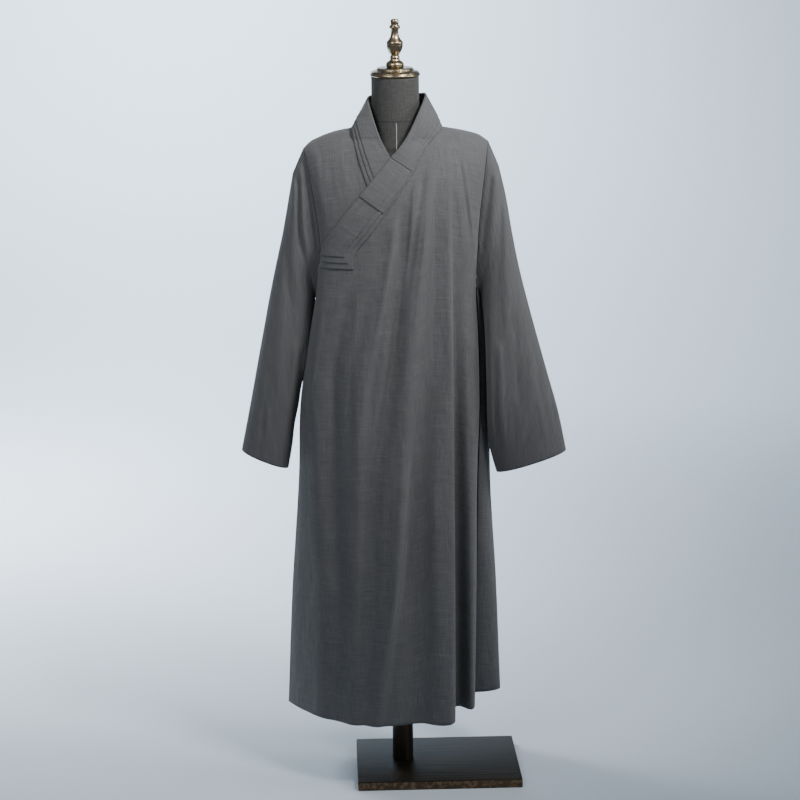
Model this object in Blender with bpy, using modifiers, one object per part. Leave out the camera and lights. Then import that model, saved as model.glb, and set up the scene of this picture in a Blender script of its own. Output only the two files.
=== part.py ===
"""Long grey robe of a Buddhist monk, hung on a limbless dress form with a turned finial and a board foot.

Metres, +Z up, seen from -Y: +X is the viewer's right. The origin is the foot of the post's axis on the floor.
The robe is cut as its maker cuts it: a wide outer front that crosses to the closing under one arm, a shorter
inner front, two backs, two wide sleeves and a stepped collar of three bands, each a thin wall of cloth.
Every wall's outer face is read from a few tables of sizes, and its thickness goes inwards.
"""

import math

import bmesh
import bpy
import numpy as np
from mathutils import Matrix, Vector

# Cloth
CLOTH = 0.0012  # wall of one layer of cloth
SEAM = 0.0004  # clearance between layers that lie on each other
HEM_Z = 0.155  # height of the outer hem above the floor
INNER_HEM_RISE = 0.020  # the inner front is cut this much shorter
CHEST_Z = 1.200  # above this height the cloth rounds back to the shoulder seam
ARMPIT_Z = 1.105  # lowest point of each armhole

# Shoulder seam
SHOULDER_MID_X = -0.0040
SHOULDER_HALF = 0.1975  # from its middle to the top of an armhole
SHOULDER_Y = 0.004
SHOULDER_SEAM = 0.0020  # between the outer faces of front and back
ROUNDING = 2.2  # power of the curve from the chest up to the shoulder seam
SHOULDER_SPREAD = 1.4  # power by which a column spreads from the chest to the shoulder
SHOULDER_SHARE = 0.22  # share of a column's rows above the chest line
SIDE_FULLNESS = 0.9  # power that flattens the front towards its right side
ROW_CROWDING = 1.25  # power by which rows crowd towards the top of a panel
INNER_SHARES = (0.0, 5 / 14, 10 / 14, 1.0)  # shares of the way across the inner front
INNER_ANGLES = (0.0, 0.95, 1.28, 2.20)  # and the angles there, close together where its neck edge starts
CENTRE_SEAM = 0.0006  # between the backs
ARMHOLE_SEAM = 0.0020  # between the outer faces of a sleeve and the body
COLLAR_LIFT = 0.0009  # between the fronts and the collar sewn on them
BAND_GAP = 0.0007  # between the collar's bands
PATCH_GAP = 0.0010  # between the collar and the patches on it
NAPE_DEPTH = 0.078  # how far the backs' neck edge lies behind the shoulder seam
NAPE_HALF = 0.097  # half width of the backs' neck edge

# Dress form, post and foot
FORM_LEAN = 0.0058  # sideways lean of the form on its post, as a slope
POST_RADIUS = 0.0235
POST_TOP_Z = 0.7447
FORM_FOOT_Z = 0.745
NECK_RADIUS = 0.051
NECK_BLEND = 6  # how tightly the neck grows out of the shoulders
FORM_SHOULDER_Z = 1.4036  # the neck grows out of the form above this height
NECK_TOP_Z = 1.5555
NECK_TILT = math.radians(5)  # the neck is cut so that its cap leans forwards
FOOT_SIZE = (0.365, 0.263, 0.020)
FOOT_CENTRE = (0.0775, -0.0145)
FOOT_ROUND = 0.0015


def table(names, *rows):
    """Rows of numbers under named columns; the first column says where along the piece a row is read."""
    return {name: np.array(column, float) for name, column in zip(names.split(), zip(*rows))}


def read(rows, name, place):
    """One column of a table at a place, on a smooth curve through its rows."""
    places = rows[next(iter(rows))]
    values = rows[name]
    place = min(max(place, places[0]), places[-1])
    k = min(max(int(np.searchsorted(places, place, side="right")) - 1, 0), len(places) - 2)
    slopes = np.gradient(values, places)
    step = places[k + 1] - places[k]
    t = (place - places[k]) / step
    rise = values[k + 1] - values[k]
    bend = t * (1 - t) * ((1 - t) * (slopes[k] * step - rise) - t * (slopes[k + 1] * step - rise))
    return float(values[k] + t * rise + bend)


# Shoulder seam: its height across the body, from one armhole to the other
SHOULDERS = table(
    "x height",
    (-0.2015, 1.4050),
    (-0.1910, 1.4160),
    (-0.1680, 1.4285),
    (-0.1360, 1.4400),
    (-0.1030, 1.4465),
    (-0.0600, 1.4520),
    (0.0000, 1.4540),
    (0.0520, 1.4520),
    (0.0930, 1.4475),
    (0.1420, 1.4392),
    (0.1800, 1.4265),
    (0.1935, 1.4165),
)
# Outer front: its free edge on the left, its side seam and slit on the right, its depth between them, and the
# power that draws it in towards the left edge
FRONT = table(
    "height  left_x   left_y  right_x  right_y  front_y  slack",
    (0.155, -0.2587, 0.013, 0.1620, -0.030, -0.155, 1.70),
    (0.420, -0.2450, 0.008, 0.1655, -0.033, -0.149, 1.40),
    (0.700, -0.2245, 0.000, 0.1675, -0.035, -0.141, 1.15),
    (0.850, -0.2185, -0.010, 0.1720, -0.036, -0.136, 1.00),
    (1.000, -0.1960, -0.030, 0.1690, -0.036, -0.131, 0.90),
    (1.105, -0.1790, -0.050, 0.1645, -0.034, -0.128, 0.90),
    (1.200, -0.1700, -0.050, 0.1680, -0.046, -0.124, 0.90),
)
# Inner front: how far its side seam lies inside the outer front's edge, and how far it lies behind it
INNER = table(
    "height  tuck_x   tuck_y  behind",
    (0.155, 0.0135, -0.022, 0.036),
    (0.420, 0.0135, -0.022, 0.032),
    (0.700, 0.0135, -0.022, 0.026),
    (0.850, 0.0135, -0.020, 0.020),
    (1.000, 0.0130, -0.010, 0.015),
    (1.105, 0.0130, 0.014, 0.0125),
    (1.163, 0.0060, 0.008, 0.0125),
    (1.200, 0.0010, 0.004, 0.0125),
)
# Backs: side seam, widest point and depth at the middle
BACK = table(
    "height right_seam_x right_seam_y left_seam_y wide_right wide_left wide_y back_y",
    (0.155, 0.1650, 0.0450, -0.0065, 0.2285, -0.2480, 0.075, 0.172),
    (0.420, 0.1680, 0.0100, -0.0115, 0.2175, -0.2350, 0.068, 0.160),
    (0.700, 0.1700, -0.0310, -0.0195, 0.2020, -0.2150, 0.063, 0.148),
    (0.850, 0.1745, -0.0320, -0.0275, 0.2030, -0.2080, 0.065, 0.138),
    (1.000, 0.1715, -0.0320, -0.0340, 0.2010, -0.1870, 0.064, 0.126),
    (1.060, 0.1690, -0.0300, -0.0330, 0.1880, -0.1780, 0.064, 0.122),
    (1.105, 0.1670, -0.0280, -0.0300, 0.1720, -0.1720, 0.066, 0.120),
    (1.130, 0.1670, 0.0000, 0.0000, 0.1680, -0.1685, 0.068, 0.119),
    (1.160, 0.1670, 0.0320, 0.0320, 0.1675, -0.1690, 0.072, 0.119),
    (1.200, 0.1680, 0.0450, 0.0450, 0.1682, -0.1695, 0.075, 0.119),
)
# Height of each front's slanting neck edge above a place across it; the collar covers the edge
OUTER_NECK = table(
    "x height",
    (-0.300, 1.163),
    (-0.172, 1.163),
    (-0.104, 1.186),
    (-0.062, 1.245),
    (-0.025, 1.299),
    (0.020, 1.364),
    (0.044, 1.410),
    (0.073, 1.448),
    (0.080, 1.520),
    (0.300, 1.600),
)
INNER_NECK = table(
    "x height",
    (-0.300, 1.600),
    (-0.104, 1.520),
    (-0.097, 1.458),
    (-0.0616, 1.340),
    (-0.0206, 1.212),
    (0.010, 1.208),
    (0.300, 1.200),
)
# Folds of the outer front, across at five heights: where each lies, how far it stands out there (a trough is
# negative), and how wide it is on its left and right
FOLD_HEIGHTS = (HEM_Z, 0.45, 0.70, 0.95, 1.20)
FOLDS = table(
    "fold x0 x1 x2 x3 x4 out0 out1 out2 out3 out4 left right",
    (1, -0.188, -0.180, -0.189, -0.190, -0.150, 0.007, 0.006, 0.007, 0.005, 0.001, 0.030, 0.030),
    (2, -0.150, -0.136, -0.150, -0.143, -0.085, -0.009, -0.007, -0.008, -0.008, -0.003, 0.030, 0.030),
    (3, -0.112, -0.102, -0.099, -0.083, -0.012, 0.007, 0.005, 0.006, 0.007, 0.004, 0.030, 0.030),
    (4, -0.088, -0.076, -0.060, -0.016, 0.001, -0.006, -0.007, -0.008, -0.009, -0.004, 0.028, 0.028),
    (5, -0.062, -0.020, -0.004, 0.018, 0.047, 0.007, 0.010, 0.006, 0.004, 0.004, 0.030, 0.034),
    (6, 0.020, 0.031, 0.031, 0.065, 0.074, -0.008, -0.012, -0.011, -0.006, -0.002, 0.042, 0.042),
    (7, 0.085, 0.090, 0.093, 0.096, 0.098, 0.032, 0.020, 0.011, 0.006, 0.003, 0.055, 0.028),
    (8, 0.122, 0.119, 0.115, 0.112, 0.111, -0.055, -0.038, -0.020, -0.008, -0.003, 0.017, 0.041),
)
PLEAT = (6, 7)  # rows of the ridge and the root of the pleat
FOLD_FADE = 0.09  # drop below the neck edge over which a fold grows to its full depth
FOLD_TOP_Z = 1.38  # above this height the front is plain
FOLD_GROWTH = 0.14  # drop over which the folds grow from there
PLEAT_ACROSS = 0.72  # share of the outer front's columns left of its pleat
# Folds of the backs, as shares of the half width from the centre seam, with the depth at the chest and hem
BACK_FOLDS = {
    "blade trough": (0.22, -0.003, -0.012, 0.10),
    "blade ridge": (0.40, 0.003, 0.014, 0.11),
    "side trough": (0.58, -0.004, -0.013, 0.10),
    "side ridge": (0.76, 0.002, 0.010, 0.10),
}
# Sleeves: each ring's outer and inner point in the front view, its half depths and the place of its middle
SLEEVE_RIGHT = table(
    "ring outer_x outer_z inner_x inner_z front back middle_y",
    (1, 0.2160, 1.365, 0.1835, 1.082, 0.050, 0.050, -0.004),
    (2, 0.2310, 1.300, 0.1925, 1.040, 0.057, 0.055, -0.010),
    (3, 0.2435, 1.225, 0.1975, 0.985, 0.061, 0.058, -0.016),
    (4, 0.2595, 1.145, 0.1985, 0.925, 0.062, 0.059, -0.020),
    (5, 0.2790, 1.068, 0.1975, 0.868, 0.061, 0.058, -0.022),
    (6, 0.3015, 0.986, 0.1955, 0.812, 0.058, 0.055, -0.022),
    (7, 0.3245, 0.905, 0.1955, 0.764, 0.053, 0.051, -0.020),
    (8, 0.3470, 0.826, 0.2015, 0.725, 0.046, 0.046, -0.016),
    (9, 0.3660, 0.7375, 0.2118, 0.690, 0.039, 0.041, -0.012),
)
SLEEVE_LEFT = table(
    "ring outer_x outer_z inner_x inner_z front back middle_y",
    (1, -0.2260, 1.352, -0.1855, 1.082, 0.048, 0.050, 0.008),
    (2, -0.2375, 1.290, -0.1905, 1.035, 0.055, 0.057, 0.016),
    (3, -0.2505, 1.222, -0.1960, 0.985, 0.061, 0.062, 0.020),
    (4, -0.2660, 1.155, -0.2035, 0.935, 0.065, 0.066, 0.022),
    (5, -0.2815, 1.085, -0.2150, 0.890, 0.067, 0.068, 0.022),
    (6, -0.2975, 1.005, -0.2225, 0.845, 0.066, 0.068, 0.020),
    (7, -0.3145, 0.920, -0.2320, 0.800, 0.061, 0.065, 0.016),
    (8, -0.3320, 0.832, -0.2385, 0.752, 0.053, 0.058, 0.010),
    (9, -0.3500, 0.746, -0.2475, 0.704, 0.044, 0.050, 0.004),
)
SLEEVE_BLUNTNESS = 0.85  # power that squares a sleeve's section a little
# Collar: its neck edge and its sewn edge at each station round the neck. Where edge_on or seam_on is 1, that
# edge lies on the front beneath it, and the y of its points is worked out from that front.
COLLAR = table(
    "station edge_x edge_y edge_z seam_x seam_y seam_z edge_on seam_on",
    (0, -0.1712, 0.000, 1.150, -0.0990, 0.000, 1.150, 1, 1),
    (1, -0.1600, 0.000, 1.207, -0.0960, 0.000, 1.188, 1, 1),
    (2, -0.1220, 0.000, 1.264, -0.0650, 0.000, 1.228, 1, 1),
    (3, -0.0710, 0.000, 1.327, -0.0190, 0.000, 1.290, 1, 1),
    (4, -0.0190, -0.095, 1.388, 0.0280, -0.100, 1.358, 1, 1),
    (5, 0.0145, -0.079, 1.430, 0.0560, -0.075, 1.407, 0, 1),
    (6, 0.0460, -0.047, 1.490, 0.0850, -0.036, 1.4405, 0, 0),
    (7, 0.0575, 0.004, 1.515, 0.0930, 0.006, 1.4500, 0, 0),
    (8, 0.0440, 0.052, 1.515, 0.0690, 0.070, 1.4505, 0, 0),
    (9, -0.0045, 0.072, 1.515, -0.0045, 0.095, 1.4500, 0, 0),
    (10, -0.0510, 0.052, 1.511, -0.0755, 0.070, 1.4510, 0, 0),
    (11, -0.0595, 0.004, 1.506, -0.0925, 0.006, 1.4520, 0, 0),
    (12, -0.0570, -0.036, 1.486, -0.0975, -0.030, 1.4450, 0, 0),
    (13, -0.0395, -0.064, 1.431, -0.0925, -0.060, 1.4110, 0, 1),
    (14, -0.0190, -0.080, 1.388, -0.0810, -0.090, 1.366, 1, 1),
    (15, 0.0100, 0.000, 1.318, -0.0550, 0.000, 1.290, 1, 1),
    (16, 0.0560, 0.000, 1.205, -0.0280, 0.000, 1.205, 1, 1),
)
NAPE = 9  # the station at the back of the neck, where the band passes from the outer to the inner front
COLLAR_BANDS = {  # share of the collar's width that each band covers, and the height of its front end
    "collar_under_band": (1.00, 1.157),
    "collar_middle_band": (0.86, 1.1695),
    "collar_main_band": (0.72, 1.183),
}
PATCHES = {"collar_patch_upper": (4.0, 4.95), "collar_patch_lower": (2.72, 3.985)}
PATCH_CLOTH = 0.0010
PATCH_ACROSS = (0.02, 0.24, 0.48, 0.70)  # shares of the collar's width at a patch's rows
BAND_WELD = 0.0025  # corners closer than this at a band's cut end become one
# Closing under the left arm: a knot ball of cord and the loop it is held by
KNOT_SIZE = 0.0085
KNOT_PLACE = (-0.1715, -0.0525, 1.1785)
LOOP_THICKNESS = 0.0022
LOOP_PATH = (
    (-0.1720, -0.0715, 1.1790),
    (-0.1718, -0.0640, 1.1815),
    (-0.1715, -0.0525, 1.1845),
    (-0.1728, -0.0466, 1.1785),
    (-0.1715, -0.0525, 1.1725),
    (-0.1718, -0.0640, 1.1750),
    (-0.1720, -0.0715, 1.1762),
)
# Dress form, from the flat underside up to the neck
FORM = (
    # height, half width, front, back
    (FORM_FOOT_Z, 0.148, 0.098, 0.108),
    (0.800, 0.160, 0.105, 0.118),
    (0.880, 0.163, 0.108, 0.120),
    (0.970, 0.144, 0.100, 0.104),
    (1.050, 0.131, 0.097, 0.093),
    (1.130, 0.137, 0.104, 0.095),
    (1.220, 0.146, 0.105, 0.098),
    (1.300, 0.152, 0.090, 0.091),
    (1.360, 0.166, 0.069, 0.074),
    (1.390, 0.178, 0.056, 0.061),
    (1.404, 0.187, 0.043, 0.050),
    (1.413, 0.1774, 0.034, 0.045),
    (1.421, 0.1628, 0.027, 0.040),
    (1.429, 0.1453, 0.020, 0.034),
    (1.436, 0.1238, 0.0142, 0.0280),
    (1.442, 0.0893, 0.0078, 0.0190),
    (1.4450, 0.069, 0.007, 0.013),
    (1.4485, 0.045, 0.015, 0.015),
    (1.475, 0.015, 0.015, 0.015),
    (NECK_TOP_Z, 0.015, 0.015, 0.015),
)
# Outer sides of the turned pieces, from the top down: radius, height
CAP_PROFILE = (
    (0.0360, 1.5730),
    (0.0385, 1.5722),
    (0.0402, 1.5705),
    (0.0440, 1.5683),
    (0.0500, 1.5652),
    (0.0530, 1.5615),
    (0.0532, 1.5578),
    (0.0520, 1.5560),
)
FINIAL_PROFILE = (
    (0.0045, 1.6748),
    (0.0079, 1.6705),
    (0.0079, 1.6655),
    (0.0058, 1.6625),
    (0.0112, 1.6597),
    (0.0112, 1.6570),
    (0.0066, 1.6535),
    (0.0072, 1.6440),
    (0.0102, 1.6350),
    (0.0150, 1.6280),
    (0.0166, 1.6235),
    (0.0150, 1.6185),
    (0.0105, 1.6080),
    (0.0080, 1.5975),
    (0.0098, 1.5950),
    (0.0098, 1.5925),
    (0.0082, 1.5900),
    (0.0135, 1.5868),
    (0.0178, 1.5815),
    (0.0178, 1.5765),
    (0.0160, 1.5734),
)

CLOTH_GREY = (0.105, 0.105, 0.108, 1)
FORM_GREY = (0.035, 0.036, 0.034, 1)
BRONZE = (0.20, 0.115, 0.045, 1)
DARK_STEEL = (0.022, 0.017, 0.010, 1)
DARK_WOOD = (0.030, 0.018, 0.010, 1)


# ---------------------------------------------------------------- surfaces of the body
def ridge(angle):
    """Point of the shoulder seam for an angle across the body, 0 at the left armhole and pi at the right."""
    x = SHOULDER_MID_X - SHOULDER_HALF * math.cos(angle)
    return x, read(SHOULDERS, "height", x)


def rounding(angle, z):
    """How far the cloth has spread and rounded back between the chest line (1, 1) and the shoulder (0, 0)."""
    share = min(max((z - CHEST_Z) / (ridge(angle)[1] - CHEST_Z), 0.0), 1.0)
    return 1 - share**SHOULDER_SPREAD, (1 - share**ROUNDING) ** (1 / ROUNDING)


def bump(offset, left, right):
    """A soft hump, 1 at its middle and 0 beyond its width on either side."""
    share = abs(offset) / (left if offset < 0 else right)
    return 0.5 * (1 + math.cos(math.pi * share)) if share < 1 else 0.0


def fold_at(fold, what, z):
    """Where across a fold lies (x), or how far it stands out (out), at a height."""
    return np.interp(z, FOLD_HEIGHTS, [FOLDS[f"{what}{row}"][fold] for row in range(len(FOLD_HEIGHTS))])


def fold_relief(x, z):
    """How far the outer front stands out of its plain section, from all its folds."""
    below_neck = (np.interp(x, OUTER_NECK["x"], OUTER_NECK["height"]) - z) / FOLD_FADE
    fade = min(max(below_neck, 0.0), 1.0) * min(max((FOLD_TOP_Z - z) / FOLD_GROWTH, 0.0), 1.0)
    place = min(max(z, HEM_Z), CHEST_Z)
    relief = 0.0
    for fold, (left, right) in enumerate(zip(FOLDS["left"], FOLDS["right"])):
        middle, out = fold_at(fold, "x", place), fold_at(fold, "out", place)
        relief += out * bump(x - middle, left, right)
    return relief * fade * fade * (3 - 2 * fade)


def front_section(angle, z, left, right, depth, slack):
    """Point of a front's section between its two side points, bulging forwards to its depth."""
    spread, round_back = rounding(angle, z)
    along = 0.5 - 0.5 * math.cos(angle)
    x = left[0] + (right[0] - left[0]) * along
    side_y = left[1] + (right[1] - left[1]) * along
    fullness = slack if angle < math.pi / 2 else SIDE_FULLNESS
    y = side_y + (depth - side_y) * math.sin(angle) ** fullness
    top_x = ridge(angle)[0]
    return top_x + (x - top_x) * spread, SHOULDER_Y + (y - SHOULDER_Y) * round_back


def outer_front(angle, z):
    """Outer face of the outer front, for an angle across it and a height."""
    place = min(z, CHEST_Z)
    left = read(FRONT, "left_x", place), read(FRONT, "left_y", place)
    right = read(FRONT, "right_x", place), read(FRONT, "right_y", place)
    x, y = front_section(angle, z, left, right, read(FRONT, "front_y", place), read(FRONT, "slack", place))
    return Vector((x, y - fold_relief(x, z), z))


def inner_front(angle, z):
    """Outer face of the inner front, which lies behind the outer one and reaches the left armhole."""
    place = min(z, CHEST_Z)
    left_x = read(FRONT, "left_x", place) + read(INNER, "tuck_x", place)
    left_y = read(FRONT, "left_y", place) + read(INNER, "tuck_y", place)
    right = read(FRONT, "right_x", place) - 0.012, read(FRONT, "right_y", place) + 0.01
    depth = read(FRONT, "front_y", place) + read(INNER, "behind", place)
    x, y = front_section(angle, z, (left_x, left_y), right, depth, read(FRONT, "slack", place))
    return Vector((x, y, z))


def back_relief(share, z):
    """How far a back stands out of its plain section, for a share of the way from the centre to the side."""
    low = min(max((CHEST_Z + 0.15 - z) / (CHEST_Z + 0.15 - HEM_Z), 0.0), 1.0)
    total = 0.0
    for place, chest, hem, width in BACK_FOLDS.values():
        total += (chest + (hem - chest) * low) * min(low * 4, 1.0) * bump(share - place, width, width)
    return total


def back_panel(side, share, z):
    """Outer face of one back (side 1 right, -1 left); share runs from the side seam to the centre seam."""
    place = min(z, CHEST_Z)
    if side > 0:
        seam = read(BACK, "right_seam_x", place), read(BACK, "right_seam_y", place)
        wide_x = read(BACK, "wide_right", place)
    else:
        seam_x = read(FRONT, "left_x", place) + read(INNER, "tuck_x", place)
        seam = seam_x, read(BACK, "left_seam_y", place)
        wide_x = read(BACK, "wide_left", place)
    wide_y, back_y = read(BACK, "wide_y", place), read(BACK, "back_y", place)
    if side > 0:
        wide_x = max(wide_x, seam[0])
    else:
        wide_x = min(wide_x, seam[0])
    wrap = 0.28  # share of the panel that runs from its seam to its widest point
    middle_x = SHOULDER_MID_X
    if share < wrap:
        turn = share / wrap * math.pi / 2
        x = seam[0] + (wide_x - seam[0]) * math.sin(turn)
        y = wide_y - (wide_y - seam[1]) * math.cos(turn)
    else:
        turn = (share - wrap) / (1 - wrap) * math.pi / 2
        x = middle_x + (wide_x - middle_x) * math.cos(turn)
        y = wide_y + (back_y - wide_y) * math.sin(turn)
        from_centre = 1 - (share - wrap) / (1 - wrap)
        y += back_relief(from_centre, z) * math.sin(turn) ** 0.5
        x += side * back_relief(from_centre, z) * math.cos(turn)
    angle = math.acos(-side * math.cos(share * math.pi / 2))
    spread, round_back = rounding(angle, z)
    top_x = ridge(angle)[0]
    nape = max(0.0, 1 - ((top_x - middle_x) / NAPE_HALF) ** 2) ** 0.5
    top_y = SHOULDER_Y + SHOULDER_SEAM + NAPE_DEPTH * nape
    return Vector((top_x + (x - top_x) * spread, top_y + (y - top_y) * round_back, z))


# ---------------------------------------------------------------- making solids
def material(name, colour, roughness, metallic=0.0):
    """A Principled material."""
    made = bpy.data.materials.new(name)
    made.use_nodes = True
    shader = made.node_tree.nodes["Principled BSDF"]
    shader.inputs["Base Color"].default_value = colour
    shader.inputs["Roughness"].default_value = roughness
    shader.inputs["Metallic"].default_value = metallic
    return made


def grid(columns, rows, place):
    """A sheet of columns by rows whose points are placed by their shares across and down."""
    bm = bmesh.new()
    bmesh.ops.create_grid(bm, x_segments=columns, y_segments=rows, size=1)
    for vertex in bm.verts:
        vertex.co = place((vertex.co.x + 1) / 2, (1 - vertex.co.y) / 2)
    bmesh.ops.remove_doubles(bm, verts=bm.verts, dist=1e-5)
    return bm


def face_away(bm, axis):
    """Turn the faces away from the axis point that belongs to each face's middle."""
    bm.normal_update()
    away = 0.0
    for face in bm.faces:
        middle = face.calc_center_median()
        away += face.calc_area() * face.normal.dot(middle - axis(middle))
    if away < 0:
        bmesh.ops.reverse_faces(bm, faces=bm.faces)


def add(name, bm, finish, parts):
    """Make the named object from a bmesh."""
    mesh = bpy.data.meshes.new(name)
    bm.to_mesh(mesh)
    bm.free()
    mesh.shade_smooth()
    mesh.materials.append(finish)
    made = bpy.data.objects.new(name, mesh)
    parts.objects.link(made)
    return made


def cloth_wall(name, bm, axis, finish, parts, thickness=CLOTH):
    """A wall of cloth whose outer face is the sheet, thickened inwards."""
    face_away(bm, axis)
    made = add(name, bm, finish, parts)
    wall = made.modifiers.new("cloth", "SOLIDIFY")
    wall.thickness = thickness
    wall.offset = -1
    wall.use_even_offset = True
    wall.thickness_clamp = 1.0
    return made


def body_axis(point):
    """The upright axis of the body at a point's height."""
    return Vector((0, 0, point.z))


# ---------------------------------------------------------------- the robe's panels
def height_at(angle, down, hem_z):
    """Height of a row on a column of cloth, from the shoulder seam (0) to the hem (1)."""
    if down < SHOULDER_SHARE:
        turn = math.pi / 2 * (1 - down / SHOULDER_SHARE)
        return CHEST_Z + (ridge(angle)[1] - CHEST_Z) * math.sin(turn) ** (2 / ROUNDING)
    low = (down - SHOULDER_SHARE) / (1 - SHOULDER_SHARE)
    return CHEST_Z + (hem_z - CHEST_Z) * low


def below_neck(column, neck, across):
    """Share down a column at which it passes below the slanting neck edge."""
    low, high = 0.0, 0.6
    for _ in range(24):
        middle = (low + high) / 2
        point = column(across, middle)
        if point.z < np.interp(point.x, neck["x"], neck["height"]):
            high = middle
        else:
            low = middle
    return high if high > 1e-5 else 0.0


def pleat_angle(z):
    """Angle across the outer front at which the pleat lies at a height."""
    place = min(max(z, HEM_Z), CHEST_Z)
    left, right = read(FRONT, "left_x", place), read(FRONT, "right_x", place)
    pleat_x = 0.5 * sum(fold_at(fold, "x", place) for fold in PLEAT)
    return math.acos(1 - 2 * (pleat_x - left) / (right - left))


def outer_column(across, down):
    """Point of the outer front; its columns crowd together at the pleat and run down along it."""
    z = height_at(math.pi / 2, down, HEM_Z)
    for _ in range(2):
        pleat = pleat_angle(z)
        if across < PLEAT_ACROSS:
            angle = pleat * (1 - (1 - across / PLEAT_ACROSS) ** 1.12)
        else:
            angle = pleat + (math.pi - pleat) * ((across - PLEAT_ACROSS) / (1 - PLEAT_ACROSS)) ** 1.25
        z = height_at(angle, down, HEM_Z)
    return outer_front(angle, z)


def inner_column(across, down):
    """Point of the inner front, which ends in a free edge under the outer one."""
    angle = float(np.interp(across, INNER_SHARES, INNER_ANGLES))
    return inner_front(angle, height_at(angle, down, HEM_Z + INNER_HEM_RISE))


def panel(column, neck, columns, rows):
    """A front with its top rows drawn down to the slanting neck edge."""
    tops = {}

    def place(across, down):
        if across not in tops:
            tops[across] = below_neck(column, neck, across)
        return column(across, tops[across] + (1 - tops[across]) * down**ROW_CROWDING)

    return grid(columns, rows, place)


def make_fronts(finish, parts):
    """The outer front, and the inner front behind it."""
    cloth_wall("front_outer", panel(outer_column, OUTER_NECK, 40, 27), body_axis, finish, parts)
    cloth_wall("front_inner", panel(inner_column, INNER_NECK, 14, 18), body_axis, finish, parts)


def make_backs(finish, parts):
    """The two backs, which meet at the centre seam."""
    for name, side in (("back_right", 1), ("back_left", -1)):

        def place(across, down, side=side):
            angle = math.acos(-side * math.cos(across * math.pi / 2))
            point = back_panel(side, across, height_at(angle, down**ROW_CROWDING, HEM_Z))
            point.x += side * CENTRE_SEAM / 2
            return point

        cloth_wall(name, grid(16, 20, place), body_axis, finish, parts)


# ---------------------------------------------------------------- sleeves
def armhole(side, turn):
    """Point of an armhole's edge: 0 at the shoulder, down the front to the armpit at 0.5, up the back to 1."""
    top_z = ridge(math.pi if side > 0 else 0)[1]
    z = (top_z + ARMPIT_Z) / 2 + (top_z - ARMPIT_Z) / 2 * math.cos(2 * math.pi * turn)
    front = outer_front(math.pi, z) if side > 0 else inner_front(0, z)
    back = back_panel(side, 0, z)
    if turn % 1 == 0 or abs(turn - 0.5) < 1e-6:
        return (front + back) / 2
    return front if turn < 0.5 else back


def sleeve_ring(rings, ring, turn):
    """Point of a sleeve's section, squared a little; turn 0 is its outer point."""
    outer = Vector((read(rings, "outer_x", ring), 0, read(rings, "outer_z", ring)))
    inner = Vector((read(rings, "inner_x", ring), 0, read(rings, "inner_z", ring)))
    across, deep = math.cos(2 * math.pi * turn), math.sin(2 * math.pi * turn)
    across = math.copysign(abs(across) ** SLEEVE_BLUNTNESS, across)
    deep = math.copysign(abs(deep) ** SLEEVE_BLUNTNESS, deep)
    point = (outer + inner) / 2 + (outer - inner) / 2 * across
    half_depth = read(rings, "front" if deep > 0 else "back", ring)
    point.y = read(rings, "middle_y", ring) - half_depth * deep
    return point


def make_sleeves(finish, parts):
    """Two open tubes of cloth, from the armholes to the cuffs."""
    for name, side, rings in (("sleeve_right", 1, SLEEVE_RIGHT), ("sleeve_left", -1, SLEEVE_LEFT)):

        def place(around, down, side=side, rings=rings):
            ring = 9 * down**1.15
            if ring >= 1:
                return sleeve_ring(rings, ring, around)
            start = armhole(side, around) + Vector((side * ARMHOLE_SEAM, 0, 0))
            return start.lerp(sleeve_ring(rings, 1, around), ring)

        bm = grid(22, 13, place)
        middle = sum((v.co for v in bm.verts), Vector()) / len(bm.verts)
        cloth_wall(name, bm, lambda point, middle=middle: middle, finish, parts)


# ---------------------------------------------------------------- collar
def on_surface(surface, x, z):
    """Point of a front's outer face at a place in the front view."""
    low, high = 0.0, math.pi
    for _ in range(26):
        middle = (low + high) / 2
        if surface(middle, z).x < x:
            low = middle
        else:
            high = middle
    return surface(high, z)


def collar_point(station, across):
    """Point of the collar's lowest face: across 0 at its neck edge, 1 at the edge sewn to the fronts."""
    edge = Vector([read(COLLAR, f"edge_{axis}", station) for axis in "xyz"])
    seam = Vector([read(COLLAR, f"seam_{axis}", station) for axis in "xyz"])
    point = edge.lerp(seam, across)
    edge_on = np.interp(station, COLLAR["station"], COLLAR["edge_on"])
    seam_on = np.interp(station, COLLAR["station"], COLLAR["seam_on"])
    held = edge_on + (seam_on - edge_on) * across
    if held > 0:
        surface = outer_front if station < NAPE else inner_front
        point.y += (on_surface(surface, point.x, point.z).y - point.y) * held
    return point


def collar_layer(station, across, height):
    """Point of the collar's face that stands a given height above its lowest face."""
    step = 0.05
    back, ahead = max(station - step, 0), min(station + step, COLLAR["station"][-1])
    low, high = max(across - step, 0), min(across + step, 1)
    along = collar_point(ahead, across) - collar_point(back, across)
    over = collar_point(station, high) - collar_point(station, low)
    return collar_point(station, across) + over.cross(along).normalized() * height


def collar_strip(start, end, columns, acrosses, height):
    """A strip of the collar between two stations, with its rows at the given shares across."""
    rows = len(acrosses) - 1

    def place(along, down):
        return collar_layer(start + (end - start) * along, acrosses[round(down * rows)], height)

    return grid(columns, rows, place)


def collar_band(end_z, columns, acrosses, height):
    """A band, cut off level at its closing end."""
    bm = collar_strip(0, COLLAR["station"][-1], columns, acrosses, height)
    bmesh.ops.bisect_plane(
        bm,
        geom=bm.verts[:] + bm.edges[:] + bm.faces[:],
        dist=1e-5,
        plane_co=(0, 0, end_z),
        plane_no=(0, 0, -1),
        clear_outer=True,
    )
    bmesh.ops.remove_doubles(bm, verts=bm.verts, dist=BAND_WELD)
    return bm


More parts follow.
